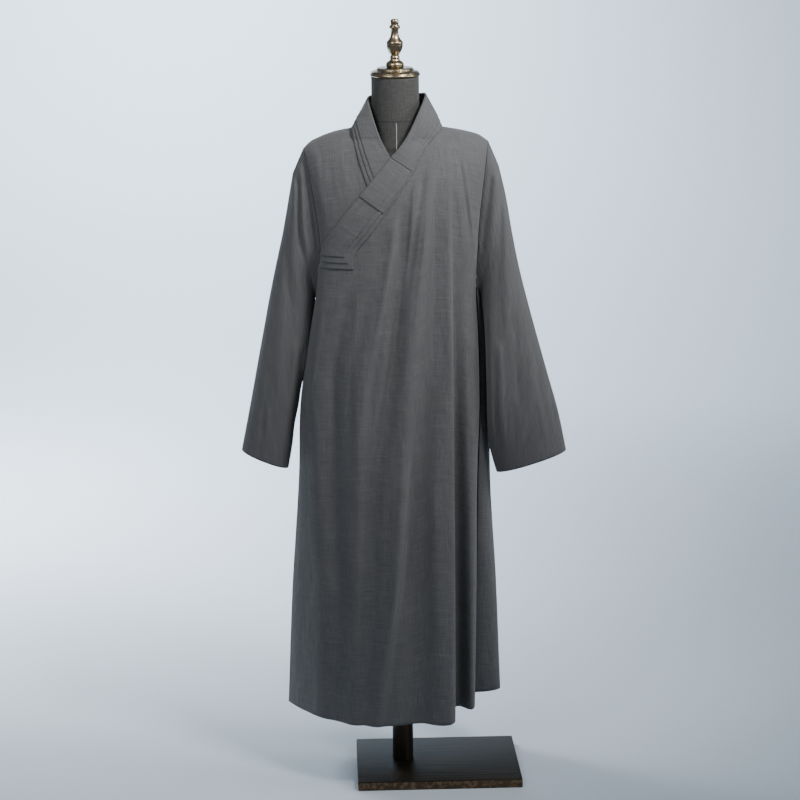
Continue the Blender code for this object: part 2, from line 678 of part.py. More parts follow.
def make_collar(finish, parts):
    """Three bands, each narrower than the one under it, and the two patches sewn on the upper one."""
    full = (0.0, 0.10, 0.26, 0.48, 0.72, 0.86, 1.0)
    height = COLLAR_LIFT - BAND_GAP
    for name, (width, end_z) in COLLAR_BANDS.items():
        height += BAND_GAP + CLOTH
        bm = collar_band(end_z, 36, [share for share in full if share <= width], height)
        cloth_wall(name, bm, collar_axis, finish, parts)
    height += PATCH_GAP + PATCH_CLOTH
    for name, (start, end) in PATCHES.items():
        bm = collar_strip(start, end, 3, PATCH_ACROSS, height)
        cloth_wall(name, bm, collar_axis, finish, parts, PATCH_CLOTH)


def make_closing(finish, parts):
    """The knot ball on the closing end of the collar, and the loop of cord that holds it."""
    bm = bmesh.new()
    bmesh.ops.create_uvsphere(
        bm, u_segments=10, v_segments=6, radius=KNOT_SIZE / 2, matrix=Matrix.Translation(KNOT_PLACE)
    )
    add("closing_knot", bm, finish, parts)
    curve = bpy.data.curves.new("closing_loop", "CURVE")
    curve.dimensions = "3D"
    curve.bevel_depth = LOOP_THICKNESS / 2
    curve.bevel_resolution = 1
    curve.resolution_u = 4
    curve.use_fill_caps = True
    curve.materials.append(finish)
    line = curve.splines.new("BEZIER")
    line.bezier_points.add(len(LOOP_PATH) - 1)
    for point, place in zip(line.bezier_points, LOOP_PATH):
        point.co = place
        point.handle_left_type = "AUTO"
        point.handle_right_type = "AUTO"
    loop = bpy.data.objects.new("closing_loop", curve)
    parts.objects.link(loop)


def collar_axis(point):
    """Axis point of the neck, tilted so that the chest and the neck both face away from it."""
    return Vector((-0.005, 0.01, point.z - 0.05))


# ---------------------------------------------------------------- dress form and stand
def form_centre(z):
    """Sideways place of the form's middle at a height: it leans a little on its post."""
    return -FORM_LEAN * (z - FORM_FOOT_Z)


def make_form(finish, parts):
    """The limbless form, one closed body from its flat underside to the top of the neck."""
    rings = [(FORM[0][0], 0, 0, 0)] + list(FORM) + [(FORM[-1][0], 0, 0, 0)]

    def place(around, down):
        z, half, front, back = rings[round((1 - down) * (len(rings) - 1))]
        if half == 0:
            return Vector((form_centre(z), 0, z))
        turn = 2 * math.pi * around
        deep = front if math.cos(turn) > 0 else back
        radius = ((math.sin(turn) / half) ** 2 + (math.cos(turn) / deep) ** 2) ** -0.5
        if z > FORM_SHOULDER_Z:
            radius = (radius**NECK_BLEND + NECK_RADIUS**NECK_BLEND) ** (1 / NECK_BLEND)
        y = -radius * math.cos(turn)
        lean = y * math.tan(NECK_TILT) if z == NECK_TOP_Z else 0
        return Vector((form_centre(z) + radius * math.sin(turn), y, z + lean))

    bm = grid(28, len(rings) - 1, place)
    bmesh.ops.recalc_face_normals(bm, faces=bm.faces)
    add("dress_form", bm, finish, parts)


def turned(name, profile, finish, parts, steps):
    """A turned piece on the tilted top of the neck, from its outer side, top to bottom."""
    pivot = Vector((form_centre(NECK_TOP_Z), 0, NECK_TOP_Z))
    points = [(0, profile[0][1])] + list(profile) + [(0, profile[-1][1])]
    bm = bmesh.new()
    corners = [bm.verts.new((radius, 0, z - pivot.z)) for radius, z in points]
    for first, second in zip(corners, corners[1:]):
        bm.edges.new((first, second))
    made = add(name, bm, finish, parts)
    screw = made.modifiers.new("turn", "SCREW")
    screw.steps = steps
    screw.render_steps = steps
    screw.use_merge_vertices = True
    screw.merge_threshold = 0.0001
    made.location = pivot
    made.rotation_euler.x = NECK_TILT
    return made


def make_stand(steel, wood, parts):
    """The post, and the board that it stands in."""
    foot_top = FOOT_SIZE[2]
    length = POST_TOP_Z - foot_top - SEAM
    bm = bmesh.new()
    middle = Matrix.Translation((0, 0, foot_top + SEAM + length / 2))
    bmesh.ops.create_cone(
        bm, cap_ends=True, segments=24, radius1=POST_RADIUS, radius2=POST_RADIUS, depth=length, matrix=middle
    )
    add("post", bm, steel, parts)
    bm = bmesh.new()
    size = Matrix.Diagonal((*FOOT_SIZE, 1))
    bmesh.ops.create_cube(bm, size=1, matrix=Matrix.Translation((*FOOT_CENTRE, foot_top / 2)) @ size)
    board = add("foot_board", bm, wood, parts)
    rounding_edge = board.modifiers.new("edge", "BEVEL")
    rounding_edge.width = FOOT_ROUND
    rounding_edge.segments = 2


def main():
    """Clear the scene and model the robe on its form."""
    for old in list(bpy.data.objects):
        bpy.data.objects.remove(old, do_unlink=True)
    parts = bpy.data.collections.new("monk_robe_on_form")
    bpy.context.scene.collection.children.link(parts)
    cloth = material("robe_cloth", CLOTH_GREY, 0.9)
    linen = material("form_linen", FORM_GREY, 0.85)
    bronze = material("bronze", BRONZE, 0.3, 1.0)
    steel = material("post_steel", DARK_STEEL, 0.35, 0.6)
    wood = material("board_wood", DARK_WOOD, 0.35)
    make_fronts(cloth, parts)
    make_backs(cloth, parts)
    make_sleeves(cloth, parts)
    make_collar(cloth, parts)
    make_closing(cloth, parts)
    make_form(linen, parts)
    turned("neck_cap", CAP_PROFILE, bronze, parts, 28)
    turned("finial", FINIAL_PROFILE, bronze, parts, 20)
    make_stand(steel, wood, parts)


main()
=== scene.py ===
# %% [markdown]
# # A monk's long robe on a dress form
#
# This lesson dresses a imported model: the frame gives every solid at its real place and size, and the
# cells below put real cloth over it, panel by panel, then sew it, finish the stand and light a small
# studio. Metres, +Z up, the robe's front looks towards -Y, and +X is the viewer's right.

import math

import bmesh
import bpy
import numpy as np
from mathutils import Matrix, Vector


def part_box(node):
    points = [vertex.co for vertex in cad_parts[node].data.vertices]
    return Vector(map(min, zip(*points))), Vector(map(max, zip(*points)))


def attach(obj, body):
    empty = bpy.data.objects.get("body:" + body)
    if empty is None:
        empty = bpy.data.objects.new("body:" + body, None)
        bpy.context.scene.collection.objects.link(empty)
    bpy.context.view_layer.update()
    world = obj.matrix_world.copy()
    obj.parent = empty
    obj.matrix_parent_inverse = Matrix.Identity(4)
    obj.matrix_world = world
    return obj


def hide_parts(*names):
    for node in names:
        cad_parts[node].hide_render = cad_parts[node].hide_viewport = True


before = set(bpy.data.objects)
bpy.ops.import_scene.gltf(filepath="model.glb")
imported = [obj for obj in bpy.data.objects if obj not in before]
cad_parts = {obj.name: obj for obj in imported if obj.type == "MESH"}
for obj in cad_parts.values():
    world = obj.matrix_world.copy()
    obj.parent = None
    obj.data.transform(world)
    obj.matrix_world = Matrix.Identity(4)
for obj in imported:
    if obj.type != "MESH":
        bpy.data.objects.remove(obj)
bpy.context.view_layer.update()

# %% [markdown]
# ## Tables and curves
#
# A garment is cut from few measurements, so this model is too. A table holds one measurement per column,
# taken at several heights. Reading it with a smooth curve (a cubic Hermite) gives any height between the
# rows. Everything is a numpy array, so one call places thousands of points of cloth at once.


# %% Tables and curves
def table(names, *rows):
    """Rows of numbers under named columns; the first column is the place that a row is read at."""
    return {name: np.array(column, float) for name, column in zip(names.split(), zip(*rows))}


def read(rows, name, place):
    """One column of a table at each place, on a smooth curve through its rows."""
    places, values = rows[next(iter(rows))], rows[name]
    place = np.clip(place, places[0], places[-1])
    k = np.clip(np.searchsorted(places, place, side="right") - 1, 0, len(places) - 2)
    slopes = np.gradient(values, places)
    step, rise = places[k + 1] - places[k], values[k + 1] - values[k]
    t = (place - places[k]) / step
    bend = t * (1 - t) * ((1 - t) * (slopes[k] * step - rise) - t * (slopes[k + 1] * step - rise))
    return values[k] + t * rise + bend


def read_all(rows, names, place):
    """Several columns of a table at each place."""
    return [read(rows, name, place) for name in names.split()]


def reached(low, high, short, steps):
    """Where a growing measure reaches its mark, by halving; short says which places fall short of it."""
    for _ in range(steps):
        middle = (low + high) / 2
        before = short(middle)
        low, high = np.where(before, middle, low), np.where(before, high, middle)
    return high


def ease(value):
    """A smooth step from 0 to 1."""
    value = np.clip(value, 0.0, 1.0)
    return value * value * (3 - 2 * value)


def bump(offset, left, right):
    """A soft hump, 1 at its middle and 0 beyond its width on either side."""
    share = np.abs(offset) / np.where(offset < 0, left, right)
    return np.where(share < 1, 0.5 * (1 + np.cos(math.pi * np.minimum(share, 1))), 0.0)


# %% [markdown]
# ## The robe's measurements
#
# The outer front crosses over the chest and closes under one arm. Its table says where its free edge, its
# side seam and its fullest depth lie at each height, and how slack it hangs. The inner front lies behind
# it, and the two backs close the body. Heights are above the floor: the hem hangs 155 mm up, and the
# shoulders are at about 1.45 m.

# %% The robe's measurements
HEM_Z, INNER_HEM_RISE = 0.155, 0.020
CHEST_Z, ARMPIT_Z = 1.200, 1.105
SHOULDER_MID_X, SHOULDER_HALF, SHOULDER_Y = -0.0040, 0.1975, 0.004
ROUNDING, SHOULDER_SPREAD = 2.2, 1.4  # how cloth above the chest rounds back and narrows
SHOULDER_SHARE = 0.22  # the share of a panel's rows that lie above the chest
SIDE_FULLNESS, PLEAT_ACROSS = 0.9, 0.72  # the pleat lies at this share of the outer front's columns
INNER_REACH = 2.20  # the inner front ends at this angle across the body
NAPE_DEPTH, NAPE_HALF = 0.078, 0.097  # how far the backs are cut out round the nape, and half how wide
CLOTH, HEM_LAYERS = 0.0012, 1.8  # thickness of the cloth, and how many times that a hem is
HEM_TURN, CUFF_TURN = 0.055, 0.050  # what is turned up
ROW_SPACING = 1.15  # above 1, rows of cloth lie closer together at the top

SHOULDERS = table(
    "x height",
    (-0.2015, 1.4050),
    (-0.1910, 1.4160),
    (-0.1680, 1.4285),
    (-0.1360, 1.4400),
    (-0.1030, 1.4465),
    (-0.0600, 1.4520),
    (0.0000, 1.4540),
    (0.0520, 1.4520),
    (0.0930, 1.4475),
    (0.1420, 1.4392),
    (0.1800, 1.4265),
    (0.1935, 1.4165),
)
FRONT = table(
    "height  left_x   left_y  right_x  right_y  front_y  slack",
    (0.155, -0.2587, 0.013, 0.1620, -0.030, -0.158, 1.85),
    (0.420, -0.2450, 0.008, 0.1655, -0.033, -0.149, 1.40),
    (0.700, -0.2245, 0.000, 0.1675, -0.035, -0.141, 1.15),
    (0.850, -0.2185, -0.010, 0.1720, -0.036, -0.136, 1.00),
    (1.000, -0.1960, -0.030, 0.1690, -0.036, -0.131, 0.90),
    (1.105, -0.1790, -0.050, 0.1645, -0.034, -0.128, 0.90),
    (1.200, -0.1700, -0.050, 0.1680, -0.046, -0.124, 0.90),
)
INNER = table(
    "height  tuck_x   tuck_y  behind",
    (0.155, 0.0135, -0.022, 0.036),
    (0.420, 0.0135, -0.022, 0.032),
    (0.700, 0.0135, -0.022, 0.026),
    (0.850, 0.0135, -0.020, 0.020),
    (1.000, 0.0130, -0.010, 0.015),
    (1.105, 0.0130, 0.014, 0.0125),
    (1.163, 0.0060, 0.008, 0.0125),
    (1.200, 0.0010, 0.004, 0.0125),
)
BACK = table(
    "height right_seam_x right_seam_y left_seam_y wide_right wide_left wide_y back_y",
    (0.155, 0.1650, 0.0450, -0.0065, 0.2285, -0.2480, 0.075, 0.172),
    (0.420, 0.1680, 0.0100, -0.0115, 0.2175, -0.2350, 0.068, 0.160),
    (0.700, 0.1700, -0.0310, -0.0195, 0.2020, -0.2150, 0.063, 0.148),
    (0.850, 0.1745, -0.0320, -0.0275, 0.2030, -0.2080, 0.065, 0.138),
    (1.000, 0.1715, -0.0320, -0.0340, 0.2010, -0.1870, 0.064, 0.126),
    (1.060, 0.1690, -0.0300, -0.0330, 0.1880, -0.1780, 0.064, 0.122),
    (1.105, 0.1670, -0.0280, -0.0300, 0.1720, -0.1720, 0.066, 0.120),
    (1.130, 0.1670, 0.0000, 0.0000, 0.1680, -0.1685, 0.068, 0.119),
    (1.160, 0.1670, 0.0320, 0.0320, 0.1675, -0.1690, 0.072, 0.119),
    (1.200, 0.1680, 0.0450, 0.0450, 0.1682, -0.1695, 0.075, 0.119),
)
OUTER_NECK = table(
    "x height",
    (-0.300, 1.163),
    (-0.172, 1.163),
    (-0.104, 1.186),
    (-0.062, 1.245),
    (-0.025, 1.299),
    (0.020, 1.364),
    (0.044, 1.410),
    (0.073, 1.448),
    (0.080, 1.520),
    (0.300, 1.600),
)
INNER_NECK = table(
    "x height",
    (-0.300, 1.600),
    (-0.104, 1.520),
    (-0.097, 1.458),
    (-0.0616, 1.340),
    (-0.0206, 1.212),
    (0.010, 1.208),
    (0.300, 1.200),
)
print("hem to nape:", round(SHOULDERS["height"].max() - HEM_Z, 3), "m")

# %% [markdown]
# ## Folds laid one by one
#
# Cloth that hangs from the shoulders and from a slanting collar falls in long soft folds that are uneven
# in length, depth and spacing. A simulation would invent its own, so each fold is named and placed
# instead: where it lies across at several heights, how far it stands out there (a trough is negative) and
# how wide it is on each side. The broad folds come first; the finer ones sharpen them and start from the
# collar's gathers.

# %% Folds laid one by one
FOLD_HEIGHTS = (0.155, 0.45, 0.70, 0.95, 1.20)
FRONT_FOLDS = table(
    "fold x0 x1 x2 x3 x4 d0 d1 d2 d3 d4 left right",
    (1, -0.188, -0.180, -0.189, -0.190, -0.150, 0.003, 0.008, 0.009, 0.006, 0.001, 0.030, 0.028),
    (2, -0.150, -0.136, -0.150, -0.143, -0.085, -0.004, -0.009, -0.010, -0.011, -0.003, 0.028, 0.030),
    (3, -0.112, -0.102, -0.099, -0.083, -0.012, 0.004, 0.007, 0.009, 0.010, 0.006, 0.030, 0.026),
    (4, -0.088, -0.076, -0.060, -0.016, 0.001, -0.003, -0.008, -0.011, -0.012, -0.006, 0.026, 0.028),
    (5, -0.062, -0.020, -0.004, 0.018, 0.047, 0.006, 0.013, 0.010, 0.007, 0.005, 0.036, 0.024),
    (6, 0.020, 0.031, 0.031, 0.065, 0.074, -0.005, -0.012, -0.012, -0.007, -0.003, 0.042, 0.042),
    (7, 0.088, 0.092, 0.094, 0.096, 0.098, 0.032, 0.021, 0.012, 0.006, 0.003, 0.055, 0.024),
    (8, 0.119, 0.117, 0.114, 0.112, 0.111, -0.066, -0.052, -0.036, -0.019, -0.005, 0.013, 0.042),
)
PLEAT_EDGE = (0.099, 0.100, 0.100, 0.100, 0.101)  # where the pleat's ridge leans over its root
PLEAT_LEAN = (0.0115, 0.0110, 0.0100, 0.0080, 0.0040)
# Finer creases of the outer front: from a point (x, z) through a second to a third, depth and widths
FRONT_CREASES = table(
    "crease x0 z0 x1 z1 x2 z2 depth left right",
    (1, 0.051, 1.372, 0.042, 1.300, 0.006, 1.070, -0.0056, 0.008, 0.012),
    (2, 0.064, 1.378, 0.056, 1.260, 0.022, 0.970, 0.0036, 0.010, 0.013),
    (3, 0.004, 1.265, 0.001, 1.120, -0.060, 0.700, -0.0048, 0.009, 0.013),
    (4, -0.004, 1.285, -0.041, 1.068, -0.104, 0.760, 0.0042, 0.013, 0.010),
    (5, 0.020, 1.330, 0.016, 1.260, 0.008, 1.120, -0.0024, 0.006, 0.008),
    (6, 0.033, 1.345, 0.026, 1.290, 0.014, 1.150, 0.0030, 0.007, 0.007),
    (7, 0.127, 1.392, 0.144, 1.265, 0.157, 1.165, -0.0034, 0.009, 0.007),
    (8, 0.098, 1.300, 0.096, 1.090, 0.098, 0.700, 0.0028, 0.014, 0.009),
    (9, 0.078, 1.360, 0.074, 1.200, 0.064, 0.860, -0.0020, 0.012, 0.012),
    (10, -0.093, 1.140, -0.100, 0.980, -0.097, 0.640, 0.0024, 0.012, 0.012),
    (11, -0.110, 1.120, -0.146, 0.920, -0.134, 0.560, -0.0036, 0.016, 0.012),
    (12, -0.165, 1.090, -0.196, 0.900, -0.176, 0.590, 0.0030, 0.016, 0.014),
    (13, 0.012, 0.760, -0.013, 0.490, -0.060, 0.190, 0.0060, 0.022, 0.010),
    (14, 0.028, 0.720, 0.004, 0.470, -0.036, 0.210, -0.0040, 0.010, 0.020),
    (15, -0.120, 0.640, -0.110, 0.450, -0.118, 0.200, 0.0022, 0.016, 0.016),
    (16, -0.215, 0.520, -0.222, 0.360, -0.230, 0.200, -0.0024, 0.014, 0.014),
    (17, 0.066, 0.700, 0.072, 0.430, 0.080, 0.175, 0.0024, 0.020, 0.016),
    (18, 0.150, 1.060, 0.148, 0.880, 0.150, 0.620, -0.0016, 0.010, 0.008),
    (19, -0.060, 0.560, -0.062, 0.400, -0.078, 0.230, -0.0022, 0.012, 0.014),
    (20, -0.148, 0.500, -0.160, 0.380, -0.182, 0.270, 0.0018, 0.014, 0.012),
    (21, 0.134, 1.385, 0.151, 1.265, 0.163, 1.175, 0.0026, 0.007, 0.007),
    (22, 0.118, 1.340, 0.130, 1.250, 0.136, 1.180, 0.0018, 0.009, 0.009),
)
print("folds:", len(FRONT_FOLDS["fold"]), "creases:", len(FRONT_CREASES["crease"]))


# %% Reading the folds
def crease_relief(creases, x, z):
    """How far a surface stands out from all the creases of a table, at places x, z of the front view."""
    total = np.zeros_like(x)
    for k in range(len(creases["depth"])):
        top, middle, low = (creases[f"z{end}"][k] for end in "012")
        across = np.interp(z, (low, middle, top), [creases[f"x{end}"][k] for end in "210"])
        length = top - low
        grow = ease((top - z) / (0.12 * length)) * ease((z - low) / (0.45 * length))
        swell = 0.75 + 0.25 * np.sin(23.0 * z + 5.0 * k)
        hump = bump(x - across, creases["left"][k], creases["right"][k])
        total += creases["depth"][k] * grow * swell * hump
    return total


def fold_relief(x, z):
    """How far the outer front stands out of its plain section, from all its folds."""
    below = np.interp(x, OUTER_NECK["x"], OUTER_NECK["height"]) - z
    fade = np.clip(below / 0.09, 0, 1) * np.clip((1.38 - z) / 0.14, 0, 1)
    place = np.clip(z, HEM_Z, CHEST_Z)
    relief = np.zeros_like(x)
    for k in range(len(FRONT_FOLDS["fold"])):
        middle = np.interp(place, FOLD_HEIGHTS, [FRONT_FOLDS[f"x{row}"][k] for row in range(5)])
        depth = np.interp(place, FOLD_HEIGHTS, [FRONT_FOLDS[f"d{row}"][k] for row in range(5)])
        relief += depth * bump(x - middle, FRONT_FOLDS["left"][k], FRONT_FOLDS["right"][k])
    clear_of_collar = ease((below - 0.024) / 0.03)
    return relief * ease(fade) + crease_relief(FRONT_CREASES, x, z) * clear_of_collar


# %% [markdown]
# ## Sections of the body
#
# At each height the front is half of a rounded section between two side points, and the backs are the
# other half. Above the chest the section rounds back and narrows until front and back meet on the
# shoulder seam, as a superellipse does. The surface functions return points, so the same ones place
# cloth, collar and stitches.


# %% Sections of the body
def ridge(angle):
    """The shoulder seam for an angle across the body, 0 at the left armhole and pi at the right."""
    x = SHOULDER_MID_X - SHOULDER_HALF * np.cos(angle)
    return x, read(SHOULDERS, "height", x)


def rounding(angle, z):
    """How far the cloth has spread and rounded back, from the chest line (1, 1) to the shoulder (0, 0)."""
    share = np.clip((z - CHEST_Z) / (ridge(angle)[1] - CHEST_Z), 0.0, 1.0)
    return 1 - share**SHOULDER_SPREAD, (1 - share**ROUNDING) ** (1 / ROUNDING)


def front_section(angle, z, left, right, depth, slack):
    """A front's section between its two side points, bulging forwards to its depth."""
    spread, round_back = rounding(angle, z)
    along = 0.5 - 0.5 * np.cos(angle)
    x = left[0] + (right[0] - left[0]) * along
    side_y = left[1] + (right[1] - left[1]) * along
    fullness = np.where(angle < math.pi / 2, slack, SIDE_FULLNESS)
    y = side_y + (depth - side_y) * np.sin(np.clip(angle, 0, math.pi)) ** fullness
    top_x = ridge(angle)[0]
    return top_x + (x - top_x) * spread, SHOULDER_Y + (y - SHOULDER_Y) * round_back


def outer_front(angle, z):
    """Outer face of the outer front, for angles across it and heights."""
    angle, z = np.broadcast_arrays(np.asarray(angle, float), np.asarray(z, float))
    place = np.minimum(z, CHEST_Z)
    left, right = read_all(FRONT, "left_x left_y", place), read_all(FRONT, "right_x right_y", place)
    x, y = front_section(angle, z, left, right, *read_all(FRONT, "front_y slack", place))
    edge, lean = (np.interp(place, FOLD_HEIGHTS, row) for row in (PLEAT_EDGE, PLEAT_LEAN))
    return np.stack((x + lean * bump(x - edge, 0.030, 0.012), y - fold_relief(x, z), z), -1)


INNER_CREASES = table(
    "crease x0 z0 x1 z1 x2 z2 depth left right",
    (1, -0.176, 1.405, -0.168, 1.320, -0.150, 1.230, 0.0022, 0.010, 0.012),
    (2, -0.150, 1.400, -0.140, 1.320, -0.128, 1.260, -0.0016, 0.010, 0.010),
    (3, -0.122, 1.395, -0.112, 1.330, -0.100, 1.290, 0.0012, 0.008, 0.008),
)


def inner_front(angle, z):
    """Outer face of the inner front, which lies behind the outer one and reaches the left armhole."""
    angle, z = np.broadcast_arrays(np.asarray(angle, float), np.asarray(z, float))
    place = np.minimum(z, CHEST_Z)
    left_x, left_y, right_x, right_y, front_y, slack = read_all(
        FRONT, "left_x left_y right_x right_y front_y slack", place
    )
    tuck_x, tuck_y, behind = read_all(INNER, "tuck_x tuck_y behind", place)
    left, right = (left_x + tuck_x, left_y + tuck_y), (right_x - 0.012, right_y + 0.01)
    x, y = front_section(angle, z, left, right, front_y + behind, slack)
    return np.stack((x, y - crease_relief(INNER_CREASES, x, z), z), -1)


# %% The backs
BACK_FOLDS_Z = CHEST_Z + 0.15  # the broad folds start here
BACK_WRAP = 0.28  # the share of a back that wraps forwards to its side seam
BACK_FOLDS = table(
    "place chest hem width",
    (0.22, -0.003, -0.012, 0.10),
    (0.40, 0.003, 0.014, 0.11),
    (0.58, -0.004, -0.013, 0.10),
    (0.76, 0.002, 0.010, 0.10),
)
BACK_CREASES = table(
    "crease x0 z0 x1 z1 x2 z2 depth left right",
    (1, -0.040, 1.330, -0.030, 1.080, -0.042, 0.620, -0.0030, 0.012, 0.016),
    (2, -0.076, 1.360, -0.072, 1.160, -0.090, 0.840, 0.0026, 0.012, 0.014),
    (3, -0.118, 1.300, -0.112, 1.020, -0.128, 0.520, -0.0034, 0.014, 0.014),
    (4, 0.030, 1.300, 0.034, 1.000, 0.026, 0.560, 0.0028, 0.014, 0.012),
    (5, 0.066, 1.350, 0.060, 1.130, 0.070, 0.760, -0.0028, 0.012, 0.015),
    (6, 0.104, 1.320, 0.108, 1.040, 0.118, 0.610, 0.0030, 0.016, 0.012),
    (7, 0.140, 1.250, 0.148, 1.000, 0.150, 0.700, -0.0026, 0.012, 0.014),
    (8, -0.150, 0.900, -0.162, 0.620, -0.170, 0.230, 0.0040, 0.018, 0.014),
    (9, -0.060, 0.800, -0.068, 0.500, -0.060, 0.200, 0.0036, 0.016, 0.018),
    (10, 0.050, 0.780, 0.046, 0.480, 0.056, 0.190, -0.0040, 0.016, 0.018),
    (11, 0.158, 0.760, 0.168, 0.480, 0.176, 0.200, -0.0030, 0.014, 0.014),
    (12, -0.020, 0.520, -0.024, 0.360, -0.018, 0.200, -0.0026, 0.012, 0.014),
    (13, 0.100, 0.560, 0.096, 0.380, 0.108, 0.180, 0.0030, 0.016, 0.014),
    (14, -0.200, 0.640, -0.206, 0.420, -0.214, 0.210, -0.0026, 0.012, 0.012),
)


def back_relief(from_centre, z):
    """How far a back stands out of its plain section, for shares of the way from the centre to the side."""
    low = np.clip((BACK_FOLDS_Z - z) / (BACK_FOLDS_Z - HEM_Z), 0.0, 1.0)
    total = np.zeros_like(z)
    for place, chest, hem, width in zip(*BACK_FOLDS.values()):
        depth = (chest + (hem - chest) * low) * np.minimum(low * 4, 1)
        total += depth * bump(from_centre - place, width, width)
    return total


def back_panel(side, share, z):
    """Outer face of one back (side 1 right, -1 left); share runs from the side seam to the centre seam."""
    share, z = np.broadcast_arrays(np.asarray(share, float), np.asarray(z, float))
    place = np.minimum(z, CHEST_Z)
    wide_y, back_y = read_all(BACK, "wide_y back_y", place)
    if side > 0:
        seam_x, seam_y, wide_x = read_all(BACK, "right_seam_x right_seam_y wide_right", place)
        wide_x = np.maximum(wide_x, seam_x)
    else:
        seam_x = read(FRONT, "left_x", place) + read(INNER, "tuck_x", place)
        seam_y, wide_x = read_all(BACK, "left_seam_y wide_left", place)
        wide_x = np.minimum(wide_x, seam_x)
    near = share < BACK_WRAP
    beyond = (share - BACK_WRAP) / (1 - BACK_WRAP)
    turn = np.where(near, share / BACK_WRAP, beyond) * math.pi / 2
    relief = np.where(near, 0.0, back_relief(1 - beyond, z))
    x = np.where(
        near,
        seam_x + (wide_x - seam_x) * np.sin(turn),
        SHOULDER_MID_X + (wide_x - SHOULDER_MID_X) * np.cos(turn) + side * relief * np.cos(turn),
    )
    y = np.where(
        near,
        wide_y - (wide_y - seam_y) * np.cos(turn),
        wide_y + (back_y - wide_y) * np.sin(turn) + relief * np.abs(np.sin(turn)) ** 0.5,
    )
    y = y + crease_relief(BACK_CREASES, x, z) * np.where(near, 0.0, np.sin(turn))
    angle = np.arccos(np.clip(-side * np.cos(share * math.pi / 2), -1, 1))
    spread, round_back = rounding(angle, z)
    top_x = ridge(angle)[0]
    nape = np.sqrt(np.maximum(0.0, 1 - ((top_x - SHOULDER_MID_X) / NAPE_HALF) ** 2))
    top_y = SHOULDER_Y + 0.0006 + NAPE_DEPTH * nape
    return np.stack((top_x + (x - top_x) * spread, top_y + (y - top_y) * round_back, z), -1)


print("back folds:", len(BACK_FOLDS["place"]), "creases:", len(BACK_CREASES["crease"]))

# %% [markdown]
# ## Making a sheet of cloth
#
# Every panel starts as a flat grid, as it lies on the cutting table, and each corner of the grid is then
# moved to its place on the body. The cloth map keeps, for each corner, how many metres it lies along the
# weft and down the warp: woven threads drawn on that map run true and never stretch. Solidify gives the
# sheet its thickness inwards, nearly doubled where a hem is turned up.


# %% Making a sheet of cloth
def mesh_from(name, bm):
    """A mesh from a finished bmesh."""
    mesh = bpy.data.meshes.new(name)
    bm.to_mesh(mesh)
    bm.free()
    return mesh


def add_piece(name, mesh):
    """A new smooth object of the scene."""
    mesh.shade_smooth()
    piece = bpy.data.objects.new(name, mesh)
    bpy.context.scene.collection.objects.link(piece)
    print(f"{name}: {len(mesh.polygons)} faces")
    return piece


def face_away(mesh, centre):
    """Turn a sheet's faces away from an axis through a centre."""
    bm = bmesh.new()
    bm.from_mesh(mesh)
    bm.normal_update()
    away = 0.0
    for face in bm.faces:
        middle = face.calc_center_median()
        axis = Vector((centre[0], centre[1], middle.z + centre[2]))
        away += face.calc_area() * face.normal.dot(middle - axis)
    if away < 0:
        bmesh.ops.reverse_faces(bm, faces=bm.faces)
    bm.to_mesh(mesh)
    bm.free()


def weft_and_warp(points, straight, level):
    """Metres along the weft from the straight column, and down the warp, for points [row, column]."""
    along = np.linalg.norm(np.diff(points[..., : 2 if level else 3], axis=1), axis=2)
    weft = np.concatenate((np.zeros((len(points), 1)), np.cumsum(along, axis=1)), 1)
    down = np.linalg.norm(np.diff(points, axis=0), axis=2)
    warp = np.concatenate((np.zeros((1, points.shape[1])), np.cumsum(down, axis=0)), 0)
    if level:
        warp += points[0, :, 2].max() - points[0, :, 2]
    return weft - weft[:, straight : straight + 1], warp


def cloth_sheet(
    name, columns, rows, place, centre=(0, 0, 0), straight=0.5, hem=0.0, level=False, thickness=CLOTH
):
    """A sheet of columns by rows placed by its shares across and down, with its cloth map in metres.

    The threads of a level sheet lie level and hang straight down, whatever way its top edge is cut.
    """
    bm = bmesh.new()
    bmesh.ops.create_grid(bm, x_segments=columns, y_segments=rows, size=0.5)
    mesh = mesh_from(name, bm)
    flat = np.empty(len(mesh.vertices) * 3)
    mesh.vertices.foreach_get("co", flat)
    flat = flat.reshape(-1, 3)
    across, down = flat[:, 0] + 0.5, 0.5 - flat[:, 1]
    points = place(across, down)
    mesh.vertices.foreach_set("co", points.ravel())
    column, row = np.rint(across * columns).astype(int), np.rint(down * rows).astype(int)
    laid = np.empty((rows + 1, columns + 1, 3))
    laid[row, column] = points
    weft, warp = weft_and_warp(laid, round(straight * columns), level)
    corner = np.empty(len(mesh.loops), int)
    mesh.loops.foreach_get("vertex_index", corner)
    cloth_map = mesh.uv_layers.new(name="cloth")
    cloth_map.data.foreach_set("uv", np.stack((weft[row, column], warp[row, column]), 1)[corner].ravel())
    face_away(mesh, centre)
    piece = add_piece(name, mesh)
    wall = piece.modifiers.new("cloth", "SOLIDIFY")
    wall.thickness = thickness
    wall.offset = -1
    if hem:
        turned_up = piece.vertex_groups.new(name="hem")
        inside = warp[-1:] - warp < hem
        turned_up.add([int(k) for k in np.nonzero(inside[row, column])[0]], 1.0, "REPLACE")
        wall.thickness = thickness * HEM_LAYERS
        wall.vertex_group = "hem"
        wall.thickness_vertex_group = 1 / HEM_LAYERS
    print(f"  {sum(face.area for face in mesh.polygons):.4f} m2 of cloth")


# %% The fronts
def height_at(angle, down, hem_z):
    """Height of a row on a column of cloth, from the shoulder seam (0) to the hem (1)."""
    turn = math.pi / 2 * (1 - np.minimum(down / SHOULDER_SHARE, 1))
    high = CHEST_Z + (ridge(angle)[1] - CHEST_Z) * np.sin(turn) ** (2 / ROUNDING)
    low = CHEST_Z + (hem_z - CHEST_Z) * (down - SHOULDER_SHARE) / (1 - SHOULDER_SHARE)
    return np.where(down < SHOULDER_SHARE, high, low)


